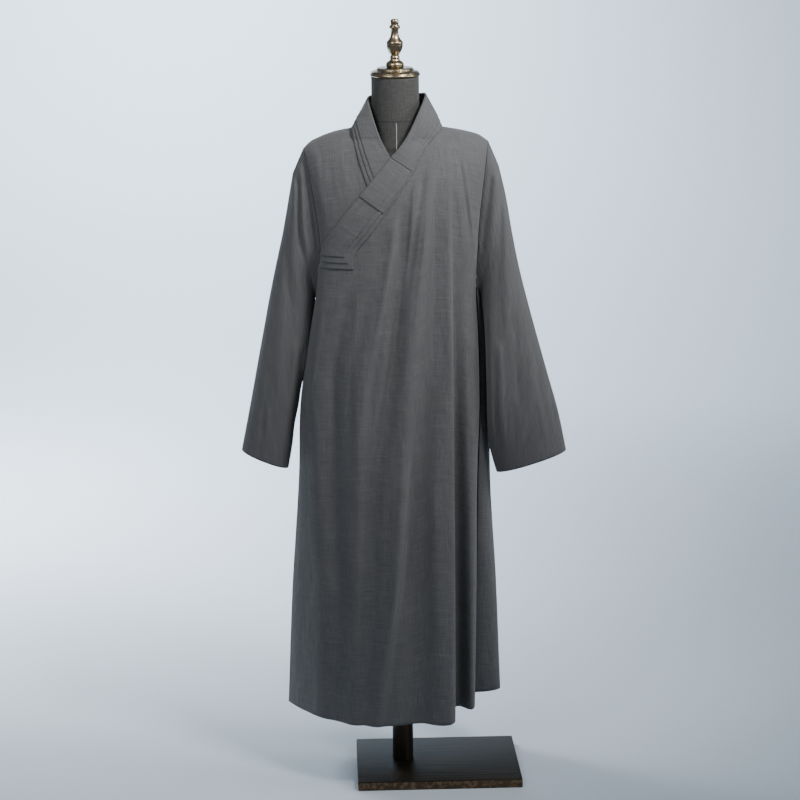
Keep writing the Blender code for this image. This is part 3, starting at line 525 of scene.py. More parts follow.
def pleat_angle(z):
    """Angle across the outer front at which the pleat lies at a height."""
    place = np.clip(z, HEM_Z, CHEST_Z)
    left, right = read(FRONT, "left_x", place), read(FRONT, "right_x", place)
    pleat = [0.5 * (FRONT_FOLDS[f"x{row}"][6] + FRONT_FOLDS[f"x{row}"][7]) for row in range(5)]
    return np.arccos(1 - 2 * (np.interp(place, FOLD_HEIGHTS, pleat) - left) / (right - left))


def outer_column(across, down):
    """Points of the outer front; its columns crowd together at the pleat and run down along it."""
    z = height_at(np.full_like(across, math.pi / 2), down, HEM_Z)
    for _ in range(3):
        pleat = pleat_angle(z)
        before = pleat * (1 - (1 - np.minimum(across / PLEAT_ACROSS, 1)) ** 1.12)
        past = np.maximum((across - PLEAT_ACROSS) / (1 - PLEAT_ACROSS), 0) ** 1.25
        angle = np.where(across < PLEAT_ACROSS, before, pleat + (math.pi - pleat) * past)
        z = height_at(angle, down, HEM_Z)
    return outer_front(angle, z)


def inner_column(across, down):
    """Points of the inner front, which ends in a free edge under the outer one."""
    angle = across * INNER_REACH
    return inner_front(angle, height_at(angle, down, HEM_Z + INNER_HEM_RISE))


def cut_to_neck(column, neck):
    """A front's placing whose top rows are drawn down to the slanting neck edge."""

    def place(across, down):
        columns, back = np.unique(across, return_inverse=True)

        def above_neck(rows):
            points = column(columns, rows)
            return points[:, 2] >= np.interp(points[:, 0], neck["x"], neck["height"])

        tops = reached(np.zeros_like(columns), np.full_like(columns, 0.6), above_neck, 24)
        tops = np.where(tops > 1e-5, tops, 0.0)[back]
        return column(across, tops + (1 - tops) * down**ROW_SPACING)

    return place


place_outer, place_inner = cut_to_neck(outer_column, OUTER_NECK), cut_to_neck(inner_column, INNER_NECK)
cloth_sheet("front_outer_cloth", 210, 190, place_outer, straight=0.6, hem=HEM_TURN, level=True)
cloth_sheet("front_inner_cloth", 90, 120, place_inner, straight=0.4, hem=HEM_TURN, level=True)

# %% [markdown]
# ## Backs and sleeves
#
# The two backs meet at a centre seam and hang from the shoulders. Each sleeve is one tube of cloth: its
# first ring is the armhole's edge, and the rings after it open towards the wide cuff. A short table gives
# each ring's outer and inner point as seen from the front, and its depth. The creases of a sleeve start
# at the armhole, where it is folded under the arm, and at the cuff.


# %% The backs' cloth
def back_column(side):
    """Placing of one back, which dips at the centre seam and leaves a hair's breadth there."""

    def place(across, down):
        angle = np.arccos(np.clip(-side * np.cos(across * math.pi / 2), -1, 1))
        points = back_panel(side, across, height_at(angle, down**ROW_SPACING, HEM_Z))
        tuck = np.exp(-(((1 - across) / 0.012) ** 2)) * 0.0012
        points[:, 0] += side * 0.0002
        points[:, 1] -= tuck
        return points

    return place


for name, side in (("back_right_cloth", 1), ("back_left_cloth", -1)):
    cloth_sheet(name, 120, 170, back_column(side), straight=0.9, hem=HEM_TURN, level=True)

# %% The sleeves' cloth
SLEEVE_RIGHT = table(
    "ring outer_x outer_z inner_x inner_z front back middle_y",
    (1, 0.2160, 1.365, 0.1765, 1.086, 0.050, 0.050, -0.004),
    (2, 0.2310, 1.300, 0.1820, 1.040, 0.057, 0.055, -0.010),
    (3, 0.2435, 1.225, 0.1850, 0.985, 0.061, 0.058, -0.016),
    (4, 0.2595, 1.145, 0.1865, 0.925, 0.062, 0.059, -0.020),
    (5, 0.2790, 1.068, 0.1880, 0.868, 0.061, 0.058, -0.022),
    (6, 0.3015, 0.986, 0.1895, 0.812, 0.058, 0.055, -0.022),
    (7, 0.3245, 0.905, 0.1925, 0.764, 0.053, 0.051, -0.020),
    (8, 0.3470, 0.826, 0.2015, 0.725, 0.046, 0.046, -0.016),
    (9, 0.3660, 0.7375, 0.2118, 0.690, 0.039, 0.041, -0.012),
)
SLEEVE_LEFT = table(
    "ring outer_x outer_z inner_x inner_z front back middle_y",
    (1, -0.2260, 1.352, -0.1820, 1.082, 0.048, 0.050, 0.008),
    (2, -0.2375, 1.290, -0.1860, 1.035, 0.055, 0.057, 0.016),
    (3, -0.2505, 1.222, -0.1920, 0.985, 0.061, 0.062, 0.020),
    (4, -0.2660, 1.155, -0.2005, 0.935, 0.065, 0.066, 0.022),
    (5, -0.2815, 1.085, -0.2150, 0.890, 0.067, 0.068, 0.022),
    (6, -0.2975, 1.005, -0.2225, 0.845, 0.066, 0.068, 0.020),
    (7, -0.3145, 0.920, -0.2320, 0.800, 0.061, 0.065, 0.016),
    (8, -0.3320, 0.832, -0.2385, 0.752, 0.053, 0.058, 0.010),
    (9, -0.3500, 0.746, -0.2475, 0.704, 0.044, 0.050, 0.004),
)
CUFF_RING, RING_SPACING = 9, 1.1
INNER_FORWARD = 0.026  # the sleeves' inner edges hang this far forward, beside the front's edges
# Creases of a sleeve's front half, as seen from the front; the back half has like ones beside them
CREASES_RIGHT = table(
    "crease x0 z0 x1 z1 x2 z2 depth left right",
    (1, 0.199, 1.350, 0.182, 1.235, 0.173, 1.130, -0.0054, 0.008, 0.009),
    (2, 0.208, 1.365, 0.196, 1.230, 0.184, 1.090, 0.0048, 0.010, 0.012),
    (3, 0.220, 1.350, 0.214, 1.190, 0.200, 1.030, -0.0040, 0.012, 0.012),
    (4, 0.232, 1.300, 0.232, 1.120, 0.218, 0.930, 0.0024, 0.014, 0.014),
    (5, 0.244, 1.060, 0.250, 0.950, 0.259, 0.800, -0.0034, 0.012, 0.012),
    (6, 0.262, 1.130, 0.280, 0.950, 0.296, 0.790, 0.0022, 0.018, 0.016),
    (7, 0.284, 1.010, 0.302, 0.890, 0.322, 0.770, -0.0030, 0.014, 0.016),
    (8, 0.212, 1.000, 0.216, 0.870, 0.226, 0.730, 0.0046, 0.014, 0.012),
    (9, 0.201, 0.960, 0.203, 0.850, 0.214, 0.715, -0.0046, 0.008, 0.010),
    (10, 0.322, 0.900, 0.334, 0.830, 0.346, 0.765, -0.0018, 0.010, 0.010),
    (11, 0.300, 0.860, 0.310, 0.800, 0.318, 0.750, 0.0018, 0.009, 0.010),
    (12, 0.240, 0.860, 0.246, 0.790, 0.254, 0.730, -0.0022, 0.010, 0.012),
)
CREASES_LEFT = table(
    "crease x0 z0 x1 z1 x2 z2 depth left right",
    (1, -0.200, 1.395, -0.187, 1.300, -0.168, 1.170, -0.0066, 0.012, 0.009),
    (2, -0.209, 1.375, -0.2045, 1.240, -0.188, 1.130, 0.0056, 0.009, 0.009),
    (3, -0.216, 1.360, -0.2125, 1.200, -0.186, 1.085, -0.0062, 0.010, 0.010),
    (4, -0.224, 1.350, -0.228, 1.180, -0.204, 1.020, 0.0044, 0.014, 0.012),
    (5, -0.238, 1.330, -0.242, 1.130, -0.226, 0.960, -0.0038, 0.014, 0.012),
    (6, -0.262, 1.150, -0.2795, 0.960, -0.291, 0.800, -0.0034, 0.016, 0.014),
    (7, -0.222, 1.010, -0.240, 0.850, -0.254, 0.715, 0.0052, 0.014, 0.012),
    (8, -0.208, 0.985, -0.226, 0.860, -0.243, 0.735, -0.0042, 0.010, 0.010),
    (9, -0.296, 0.860, -0.303, 0.810, -0.309, 0.765, -0.0034, 0.008, 0.010),
    (10, -0.286, 0.850, -0.292, 0.800, -0.300, 0.750, 0.0030, 0.009, 0.009),
    (11, -0.250, 1.060, -0.262, 0.900, -0.272, 0.760, 0.0034, 0.016, 0.016),
    (12, -0.318, 0.930, -0.328, 0.850, -0.338, 0.780, -0.0020, 0.010, 0.010),
)


def armhole(side, turn):
    """An armhole's edge: turn 0 at the shoulder, down the front to 0.5 at the armpit, up the back."""
    top_z = ridge(math.pi if side > 0 else 0)[1]
    z = (top_z + ARMPIT_Z) / 2 + (top_z - ARMPIT_Z) / 2 * np.cos(2 * math.pi * turn)
    front = outer_front(math.pi, z) if side > 0 else inner_front(0.0, z)
    back = back_panel(side, 0.0, z)
    share = np.where(turn < 0.5, 0.0, 1.0)
    share = np.where((turn % 1 < 1e-6) | (np.abs(turn - 0.5) < 1e-6), 0.5, share)[:, None]
    return front * (1 - share) + back * share


def sleeve_ring(rings, ring, turn):
    """A sleeve's section; turn 0 is its outer point and 0.5 its inner one. It flattens towards the cuff."""
    outer_x, outer_z, inner_x, inner_z = read_all(rings, "outer_x outer_z inner_x inner_z", ring)
    front, back, middle_y = read_all(rings, "front back middle_y", ring)
    across, deep = np.cos(2 * math.pi * turn), np.sin(2 * math.pi * turn)
    blunt = 0.85 + 0.20 * ease((ring - 4) / 5)
    out_deep = np.copysign(np.abs(deep) ** blunt, deep)
    out_across = np.copysign(np.abs(across) ** 0.85, across)
    x = (outer_x + inner_x) / 2 + (outer_x - inner_x) / 2 * out_across
    z = (outer_z + inner_z) / 2 + (outer_z - inner_z) / 2 * out_across
    forward = INNER_FORWARD * np.clip(-across, 0, 1) ** 2 * bump(ring - 3.5, 3.5, 4.5)
    return np.stack((x, middle_y - out_deep * np.where(deep > 0, front, back) - forward, z), -1)


def sleeve_place(side, rings, creases):
    """Placing of a sleeve's cloth, from the armhole's edge to the cuff."""

    def place(across, down):
        ring = CUFF_RING * down**RING_SPACING
        on_body = np.maximum(1 - ring, 0)[:, None]
        start = armhole(side, across) + np.array((side * 0.0007, 0, 0))
        points = start * on_body + sleeve_ring(rings, np.maximum(ring, 1), across) * (1 - on_body)
        x, _, z = points.T
        facing = np.sin(2 * math.pi * across)
        front = crease_relief(creases, x, z) * np.clip(1.8 * facing, 0, 1)
        back = crease_relief(creases, x + 0.006, z + 0.02) * np.clip(-1.8 * facing, 0, 1)
        points[:, 1] += (back - front) * ease(ring / 0.3)
        return points

    return place


place_right = sleeve_place(1, SLEEVE_RIGHT, CREASES_RIGHT)
place_left = sleeve_place(-1, SLEEVE_LEFT, CREASES_LEFT)
for name, place, centre in (
    ("sleeve_right_cloth", place_right, (0.24, -0.01, 0)),
    ("sleeve_left_cloth", place_left, (-0.25, 0.01, 0)),
):
    cloth_sheet(name, 180, 130, place, centre=centre, straight=0.0, hem=CUFF_TURN)

# %% [markdown]
# ## The stepped collar
#
# The collar is three bands of cloth on top of one another, each narrower than the one under it, so that
# thin steps run along its sewn edge. It stands round the neck and lies on the fronts, and two patches
# cross it. Its table gives the neck edge and the sewn edge at stations round the neck. A layer is the
# same strip moved out along its own normal.

# %% The stepped collar
COLLAR = table(
    "station edge_x edge_y edge_z seam_x seam_y seam_z edge_on seam_on",
    (0, -0.1712, 0.000, 1.150, -0.0990, 0.000, 1.150, 1, 1),
    (1, -0.1600, 0.000, 1.207, -0.0960, 0.000, 1.188, 1, 1),
    (2, -0.1220, 0.000, 1.264, -0.0650, 0.000, 1.228, 1, 1),
    (3, -0.0710, 0.000, 1.327, -0.0190, 0.000, 1.290, 1, 1),
    (4, -0.0190, -0.095, 1.388, 0.0280, -0.100, 1.358, 1, 1),
    (5, 0.0145, -0.079, 1.430, 0.0560, -0.075, 1.407, 0, 1),
    (6, 0.0460, -0.047, 1.490, 0.0850, -0.036, 1.4405, 0, 0),
    (7, 0.0575, 0.004, 1.515, 0.0930, 0.006, 1.4500, 0, 0),
    (8, 0.0440, 0.052, 1.515, 0.0690, 0.070, 1.4505, 0, 0),
    (9, -0.0045, 0.072, 1.515, -0.0045, 0.095, 1.4500, 0, 0),
    (10, -0.0510, 0.052, 1.511, -0.0755, 0.070, 1.4510, 0, 0),
    (11, -0.0595, 0.004, 1.506, -0.0925, 0.006, 1.4520, 0, 0),
    (12, -0.0570, -0.036, 1.486, -0.0975, -0.030, 1.4450, 0, 0),
    (13, -0.0395, -0.064, 1.431, -0.0925, -0.060, 1.4110, 0, 1),
    (14, -0.0190, -0.080, 1.388, -0.0810, -0.090, 1.366, 1, 1),
    (15, 0.0100, 0.000, 1.318, -0.0550, 0.000, 1.290, 1, 1),
    (16, 0.0560, 0.000, 1.205, -0.0280, 0.000, 1.205, 1, 1),
)
NAPE = 9
BANDS = {  # share of the collar's width, height of the closing end, height of the band's face
    "collar_under_band": (1.00, 1.157, 0.0021),
    "collar_middle_band": (0.86, 1.1695, 0.0034),
    "collar_main_band": (0.72, 1.183, 0.0047),
}
LAST_STATION = COLLAR["station"][-1]


def on_surface(surface, x, z):
    """Points of a front's outer face at places of the front view."""
    ends = np.zeros_like(x), np.full_like(x, math.pi)
    return surface(reached(*ends, lambda angle: surface(angle, z)[..., 0] < x, 26), z)


def collar_point(station, across):
    """The collar's lowest face: across 0 at its neck edge, 1 at the edge sewn to the fronts."""
    edge = np.stack(read_all(COLLAR, "edge_x edge_y edge_z", station), -1)
    seam = np.stack(read_all(COLLAR, "seam_x seam_y seam_z", station), -1)
    point = edge + (seam - edge) * across[..., None]
    held = [np.interp(station, COLLAR["station"], COLLAR[side]) for side in ("edge_on", "seam_on")]
    held = held[0] + (held[1] - held[0]) * across
    for front, part in ((outer_front, station < NAPE), (inner_front, station >= NAPE)):
        lies = part & (held > 0)
        x, y, z = point[lies].T
        point[lies, 1] = y + (on_surface(front, x, np.minimum(z, 1.425))[:, 1] - y) * held[lies]
    return point


PER_STATION, PER_WIDTH = 50, 40  # steps of the collar's grid along a station and across the collar
along = np.linspace(0, LAST_STATION, round(LAST_STATION) * PER_STATION + 1)
collar_face = collar_point(*np.meshgrid(along, np.linspace(0, 1, PER_WIDTH + 1), indexing="ij"))
collar_normal = np.cross(np.gradient(collar_face, axis=1), np.gradient(collar_face, axis=0))
for _ in range(6):
    collar_normal[1:-1] = (collar_normal[:-2] + 2 * collar_normal[1:-1] + collar_normal[2:]) / 4
collar_normal /= np.linalg.norm(collar_normal, axis=-1, keepdims=True)


def between(grid, station, across):
    """A value of the collar's grid between its corners."""
    k, share = np.divmod(np.clip(station, 0, LAST_STATION - 1e-4) * PER_STATION, 1)
    j, over = np.divmod(np.clip(across, 0, 1 - 1e-5) * PER_WIDTH, 1)
    k, j, share, over = k.astype(int), j.astype(int), share[..., None], over[..., None]
    near = grid[k, j] * (1 - share) + grid[k + 1, j] * share
    far = grid[k, j + 1] * (1 - share) + grid[k + 1, j + 1] * share
    return near * (1 - over) + far * over


def collar_layer(station, across, height):
    """The collar's face that stands a given height above its lowest face."""
    station, across, height = np.broadcast_arrays(station, across, height)
    out = between(collar_normal, station, across)
    return between(collar_face, station, across) + out * height[..., None]


def closing_station(across, end_z):
    """Stations at which the collar reaches down to its closing end."""
    ends = np.zeros_like(across), np.full_like(across, 2.0)
    return reached(*ends, lambda station: between(collar_face, station, across)[:, 2] < end_z, 20)


def band_place(width, end_z, height):
    """Placing of a band, from its closing end to the collar's inner end."""

    def place(along, down):
        across = down * width
        start = closing_station(across, end_z)
        station = start + (LAST_STATION - start) * along
        edge = np.minimum(down, 1 - down) * width * 0.065
        soft = height - 0.0004 * np.exp(-edge / 0.0012)
        return collar_layer(station, across, soft)

    return place


COLLAR_CENTRE = (-0.005, 0.01, -0.05)
for node, band in BANDS.items():
    cloth_sheet(node.replace("_band", "_cloth"), 300, 18, band_place(*band), centre=COLLAR_CENTRE)

# %% Patches across the collar
PATCHES = {"collar_patch_upper": (4.0, 4.95), "collar_patch_lower": (2.72, 3.985)}  # first and last station
PATCH_CLOTH, PATCH_ON_MAIN, PATCH_ON_FRONT = 0.0009, 0.0058, 0.0031


def patch_place(start, end):
    """Placing of a patch sewn across the collar between two stations."""

    def place(along, down):
        across = 0.012 + 0.91 * down
        off_main = ease((across - 0.66) / 0.22)
        height = PATCH_ON_MAIN + (PATCH_ON_FRONT - PATCH_ON_MAIN) * off_main
        return collar_layer(start + (end - start) * along, across, height)

    return place


for node, ends in PATCHES.items():
    cloth_sheet(node + "_cloth", 28, 20, patch_place(*ends), centre=COLLAR_CENTRE, thickness=PATCH_CLOTH)

# %% [markdown]
# ## Sewing
#
# Thread is what makes a panel look sewn. A stitch is a tiny bead of thread, longer than it is thick, half
# sunk in the cloth. Each row takes points along a line, walks them at an even pitch and lays one bead of
# twenty faces per step. All rows of one panel are one piece of thread.


# %% Sewing
STITCH_PITCH, STITCH_LENGTH, THREAD, THREAD_RISE = 0.0042, 0.0029, 0.00042, 0.0001
SEAM_FOOT_Z, CUFF_SEAM_RING = 0.160, 8.45  # where the side seams start, and the ring of the cuffs' seam


def evenly(points, pitch):
    """Middles and directions of the stitches along a line of points."""
    lengths = np.concatenate(([0], np.cumsum(np.linalg.norm(np.diff(points, axis=0), axis=1))))
    places = np.arange(pitch / 2, lengths[-1], pitch)
    middles, ahead = (
        np.stack([np.interp(places + further, lengths, points[:, k]) for k in range(3)], 1)
        for further in (0, 1e-3)
    )
    return middles, ahead - middles


def sew(name, lines):
    """One piece of thread with a row of stitches along each line; rows are made apart, which is faster."""
    mesh = bpy.data.meshes.new(name)
    whole = bmesh.new()
    for line in lines:
        row = bmesh.new()
        for middle, way in zip(*evenly(line, STITCH_PITCH)):
            turn = Vector(way).to_track_quat("Y", "Z").to_matrix().to_4x4()
            bead = Matrix.Translation(middle) @ turn @ Matrix.Diagonal((THREAD, STITCH_LENGTH, THREAD, 1))
            bmesh.ops.create_icosphere(row, subdivisions=1, radius=0.5, matrix=bead)
        row.to_mesh(mesh)
        row.free()
        whole.from_mesh(mesh)
    whole.to_mesh(mesh)
    whole.free()
    return add_piece(name, mesh)


def lifted(points, away):
    """Points moved a hair's breadth in a direction, so that thread lies on the cloth."""
    return points + away / np.linalg.norm(away, axis=1, keepdims=True) * THREAD_RISE


def outwards(points):
    """Points moved a hair's breadth away from the upright axis."""
    return lifted(points, points * (1, 1, 0))


turn = np.linspace(0, 1, 400)
hem_line = HEM_Z + HEM_TURN
outer_lines = [outwards(outer_front(0.02 + (math.pi - 0.04) * turn, hem_line + 0 * turn))]
for angle, rise in ((0.10, 0.985), (0.135, 0.985), (math.pi - 0.10, 0.60)):
    outer_lines.append(outwards(outer_front(angle + 0 * turn, SEAM_FOOT_Z + rise * turn)))
thread_outer = sew("thread_outer_front", outer_lines)
back_lines = []
for side in (1, -1):
    back_lines.append(outwards(back_panel(side, 0.02 + 0.97 * turn, hem_line + 0 * turn)))
    back_lines.append(outwards(back_panel(side, 0.035 + 0 * turn, SEAM_FOOT_Z + 0.58 * turn)))
thread_backs = sew("thread_backs", back_lines)
cuff_lines = []
for place in (place_right, place_left):
    line = place(turn, np.full_like(turn, (CUFF_SEAM_RING / CUFF_RING) ** (1 / RING_SPACING)))
    cuff_lines.append(lifted(line, line - line.mean(0)))
thread_cuffs = sew("thread_cuffs", cuff_lines)
collar_lines = []
station = np.linspace(0.35, 15.9, 900)
for across, height in ((0.035, 0.0048), (0.675, 0.0048), (0.825, 0.0035), (0.965, 0.0022)):
    collar_lines.append(collar_layer(station, np.full_like(station, across), np.full_like(station, height)))
for start, end in PATCHES.values():
    for place in (start + 0.04, end - 0.04):
        over = np.linspace(0.02, 0.66, 60)
        collar_lines.append(collar_layer(np.full_like(over, place), over, np.full_like(over, 0.0059)))
for node, rise in (("collar_under_band", 0.004), ("collar_middle_band", 0.004), ("collar_main_band", 0.003)):
    width, end_z, height = BANDS[node]
    over = np.linspace(0.02, width - 0.03, 60)
    collar_lines.append(collar_layer(closing_station(over, end_z + rise), over, height + 0.0001))
over = np.linspace(0.02, 0.69, 60)
collar_lines.append(collar_layer(closing_station(over, 1.1945), over, 0.0048))
thread_collar = sew("thread_collar", collar_lines)

# %% [markdown]
# ## The closing
#
# Under the arm a small ball of knotted cord goes through a loop of the same cord. The ball is a torus
# knot, a line that winds three times one way and twice the other, drawn small enough to close up; the
# loop is a smooth curve. Both get a round bevel and then become mesh.


# %% The closing
KNOT_POINTS, KNOT_RADIUS, KNOT_SWING, KNOT_HEIGHT = 36, 0.0021, 0.00105, 0.00165
KNOT_CORD, LOOP_CORD = 0.00125, 0.0010  # half the cords' thickness


def close_up(bm, near=1e-5):
    """Join the corners that lie on one spot, and turn all faces outwards."""
    bmesh.ops.remove_doubles(bm, verts=bm.verts, dist=near)
    bmesh.ops.recalc_face_normals(bm, faces=bm.faces)


def cord_piece(name, points, radius, closed):
    """A round cord along points, made a mesh."""
    curve = bpy.data.curves.new(name, "CURVE")
    curve.dimensions = "3D"
    curve.bevel_depth = radius
    curve.bevel_resolution = 3
    curve.use_fill_caps = not closed
    line = curve.splines.new("NURBS")
    line.points.add(len(points) - 1)
    for corner, point in zip(line.points, points):
        corner.co = (*point, 1)
    line.order_u = 3
    line.use_cyclic_u = closed
    line.use_endpoint_u = not closed
    line.resolution_u = 6
    drawn = bpy.data.objects.new(name + "_line", curve)
    bpy.context.scene.collection.objects.link(drawn)
    mesh = bpy.data.meshes.new_from_object(drawn.evaluated_get(bpy.context.evaluated_depsgraph_get()))
    bpy.data.objects.remove(drawn)
    bm = bmesh.new()
    bm.from_mesh(mesh)
    close_up(bm, 1e-6)
    bm.to_mesh(mesh)
    bm.free()
    return add_piece(name, mesh)


low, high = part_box("closing_knot")
knot_points = []
for k in range(KNOT_POINTS):
    wind = 2 * math.pi * k / KNOT_POINTS
    out = KNOT_RADIUS + KNOT_SWING * math.cos(3 * wind)
    up = KNOT_HEIGHT * math.sin(3 * wind)
    from_middle = Vector((out * math.cos(2 * wind), out * math.sin(2 * wind), up))
    knot_points.append((low + high) / 2 + from_middle)
knot_ball = cord_piece("knot_ball", knot_points, KNOT_CORD, closed=True)
LOOP_PATH = (
    (-0.1712, -0.0735, 1.1795),
    (-0.1716, -0.0690, 1.1803),
    (-0.1718, -0.0620, 1.1822),
    (-0.1716, -0.0545, 1.1842),
    (-0.1722, -0.0485, 1.1825),
    (-0.1726, -0.0468, 1.1785),
    (-0.1722, -0.0485, 1.1745),
    (-0.1716, -0.0545, 1.1728),
    (-0.1718, -0.0620, 1.1745),
    (-0.1716, -0.0690, 1.1758),
    (-0.1712, -0.0735, 1.1764),
)
knot_loop = cord_piece("knot_loop", LOOP_PATH, LOOP_CORD, closed=False)

# %% [markdown]
# ## The dress form and its turned cap
#
# The form is a smooth limbless shell covered in charcoal linen. Only its neck and the hollow of the
# throat are seen, but it is whole, because the robe hangs on it. It is a stack of rings read from a
# table. The cap and the finial are turned: one profile, spun once round, then tilted with the top of the
# neck.

# %% The dress form
FORM_FOOT_Z, FORM_LEAN = 0.745, 0.0058
NECK_FOOT_Z, NECK_TOP_Z, NECK_RADIUS, NECK_TILT = 1.4035, 1.5555, 0.051, math.radians(5)
FORM = table(
    "height half front back",
    (0.745, 0.148, 0.098, 0.108),
    (0.800, 0.160, 0.105, 0.118),
    (0.880, 0.163, 0.108, 0.120),
    (0.970, 0.144, 0.100, 0.104),
    (1.050, 0.131, 0.097, 0.093),
    (1.130, 0.137, 0.104, 0.095),
    (1.220, 0.146, 0.105, 0.098),
    (1.300, 0.152, 0.090, 0.091),
    (1.360, 0.166, 0.069, 0.074),
    (1.390, 0.178, 0.056, 0.061),
    (1.404, 0.187, 0.043, 0.050),
    (1.413, 0.1774, 0.034, 0.045),
    (1.421, 0.1628, 0.027, 0.040),
    (1.429, 0.1453, 0.020, 0.034),
    (1.436, 0.1238, 0.0142, 0.028),
    (1.442, 0.0893, 0.0078, 0.019),
    (1.445, 0.069, 0.007, 0.013),
    (1.4485, 0.045, 0.015, 0.015),
    (1.475, 0.015, 0.015, 0.015),
    (1.5555, 0.015, 0.015, 0.015),
)


def form_place(around, down):
    """Placing of the form's rings, from the top of the neck to the flat underside."""
    low, high = FORM["height"][0], FORM["height"][-1]
    z = high + (low - high) * np.clip((down - 0.02) / 0.96, 0, 1)
    closing = np.clip(np.minimum(down, 1 - down) / 0.02, 0, 1)
    half, front, back = (np.interp(z, FORM["height"], FORM[name]) for name in ("half", "front", "back"))
    turn = 2 * math.pi * around
    deep = np.where(np.cos(turn) > 0, front, back)
    radius = ((np.sin(turn) / half) ** 2 + (np.cos(turn) / deep) ** 2) ** -0.5
    radius = np.where(z > NECK_FOOT_Z, (radius**6 + NECK_RADIUS**6) ** (1 / 6), radius) * closing
    y = -radius * np.cos(turn)
    x = -FORM_LEAN * (z - FORM_FOOT_Z) + radius * np.sin(turn)
    top = ease((z - 1.54) / 0.0155)
    return np.stack((x, y, z + y * math.tan(NECK_TILT) * top), -1)


def solid_of(name, columns, rows, place):
    """A closed smooth body from a grid that is rolled up."""
    bm = bmesh.new()
    bmesh.ops.create_grid(bm, x_segments=columns, y_segments=rows, size=0.5)
    flat = np.array([vertex.co for vertex in bm.verts])
    for vertex, point in zip(bm.verts, place(flat[:, 0] + 0.5, 0.5 - flat[:, 1])):
        vertex.co = point
    close_up(bm)
    return add_piece(name, mesh_from(name, bm))


form_linen = solid_of("form_linen", 96, 150, form_place)

# %% The cap and the finial
CAP_PROFILE = (
    (0.0000, 1.5736),
    (0.0352, 1.5736),
    (0.0376, 1.5730),
    (0.0390, 1.5718),
    (0.0394, 1.5702),
    (0.0390, 1.5690),
    (0.0402, 1.5682),
    (0.0440, 1.5676),
    (0.0486, 1.5660),
    (0.0512, 1.5644),
    (0.0516, 1.5634),
    (0.0508, 1.5624),
    (0.0526, 1.5616),
    (0.0533, 1.5604),
    (0.0533, 1.5578),
    (0.0526, 1.5564),
    (0.0500, 1.5558),
    (0.0000, 1.5558),
)
FINIAL_PROFILE = (
    (0.0000, 1.6748),
    (0.0058, 1.6746),
    (0.0072, 1.6736),
    (0.0079, 1.6716),
    (0.0081, 1.6665),
    (0.0078, 1.6637),
    (0.0074, 1.6625),
    (0.0098, 1.6610),
    (0.0112, 1.6592),
    (0.0110, 1.6563),
    (0.0088, 1.6545),
    (0.0074, 1.6528),
    (0.0073, 1.6480),
    (0.0078, 1.6430),
    (0.0090, 1.6380),
    (0.0112, 1.6334),
    (0.0146, 1.6292),
    (0.0161, 1.6270),
    (0.0165, 1.6246),
    (0.0158, 1.6232),
    (0.0162, 1.6212),
    (0.0160, 1.6172),
    (0.0148, 1.6120),
    (0.0122, 1.6064),
    (0.0086, 1.6010),
    (0.0078, 1.5984),
    (0.0096, 1.5962),
    (0.0101, 1.5943),
    (0.0092, 1.5926),
    (0.0084, 1.5916),
    (0.0100, 1.5905),
    (0.0098, 1.5893),
    (0.0112, 1.5880),
    (0.0150, 1.5856),
    (0.0174, 1.5826),
    (0.0180, 1.5794),
    (0.0176, 1.5762),
    (0.0164, 1.5742),
    (0.0000, 1.5742),
)
TURNED_STEPS, FINIAL_WIDER = 96, 1.07  # the finial is this much wider than its profile
neck_top = Vector((-FORM_LEAN * (NECK_TOP_Z - FORM_FOOT_Z), 0, NECK_TOP_Z))


def turned(name, profile):
    """A turned piece: its profile spun round once and tilted with the neck."""
    bm = bmesh.new()
    corners = [bm.verts.new((radius, 0, z - neck_top.z)) for radius, z in profile]
    for first, second in zip(corners, corners[1:]):
        bm.edges.new((first, second))
    bmesh.ops.spin(
        bm,
        geom=bm.verts[:] + bm.edges[:],
        cent=(0, 0, 0),
        axis=(0, 0, 1),
        angle=2 * math.pi,
        steps=TURNED_STEPS,
        use_merge=True,
    )
    close_up(bm)
    tilted = Matrix.Translation(neck_top) @ Matrix.Rotation(NECK_TILT, 4, "X")
    bmesh.ops.transform(bm, matrix=tilted, verts=bm.verts)
    return add_piece(name, mesh_from(name, bm))


cap_turned = turned("cap_turned", CAP_PROFILE)
finial_turned = turned("finial_turned", [(radius * FINIAL_WIDER, z) for radius, z in FINIAL_PROFILE])

# %% [markdown]
# ## Post and foot board
#
# The post is a painted tube and the board a slab with softly broken edges. The board's size and the
# post's length are read from the boxes of their solids, so that they cannot drift from the part.


# %% Post and foot board
def finished(name, bm, width, segments):
    """An object from a bmesh whose sharp edges are broken."""
    sharp = [edge for edge in bm.edges if edge.calc_face_angle(0) > math.radians(40)]
    bmesh.ops.bevel(
        bm,
        geom=sharp,
        offset=width,
        offset_type="OFFSET",
        segments=segments,
        profile=0.5,
        affect="EDGES",
        material=-1,
    )
    piece = add_piece(name, mesh_from(name, bm))
    piece.data.set_sharp_from_angle(angle=math.radians(50))
    return piece


POST_RADIUS = 0.0235
low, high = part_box("foot_board")
slab = Matrix.Translation((low + high) / 2) @ Matrix.Diagonal((*(high - low), 1))
bm = bmesh.new()
bmesh.ops.create_cube(bm, size=1, matrix=slab)
board_finished = finished("board_finished", bm, width=0.0022, segments=3)
low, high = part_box("post")
bm = bmesh.new()
bmesh.ops.create_cone(
    bm,
    cap_ends=True,
    segments=72,
    radius1=POST_RADIUS,
    radius2=POST_RADIUS,
    depth=high.z - low.z,
    matrix=Matrix.Translation((0, 0, (low.z + high.z) / 2)),
)
post_finished = finished("post_finished", bm, width=0.0004, segments=1)
print("post:", round(high.z - low.z, 3), "m")

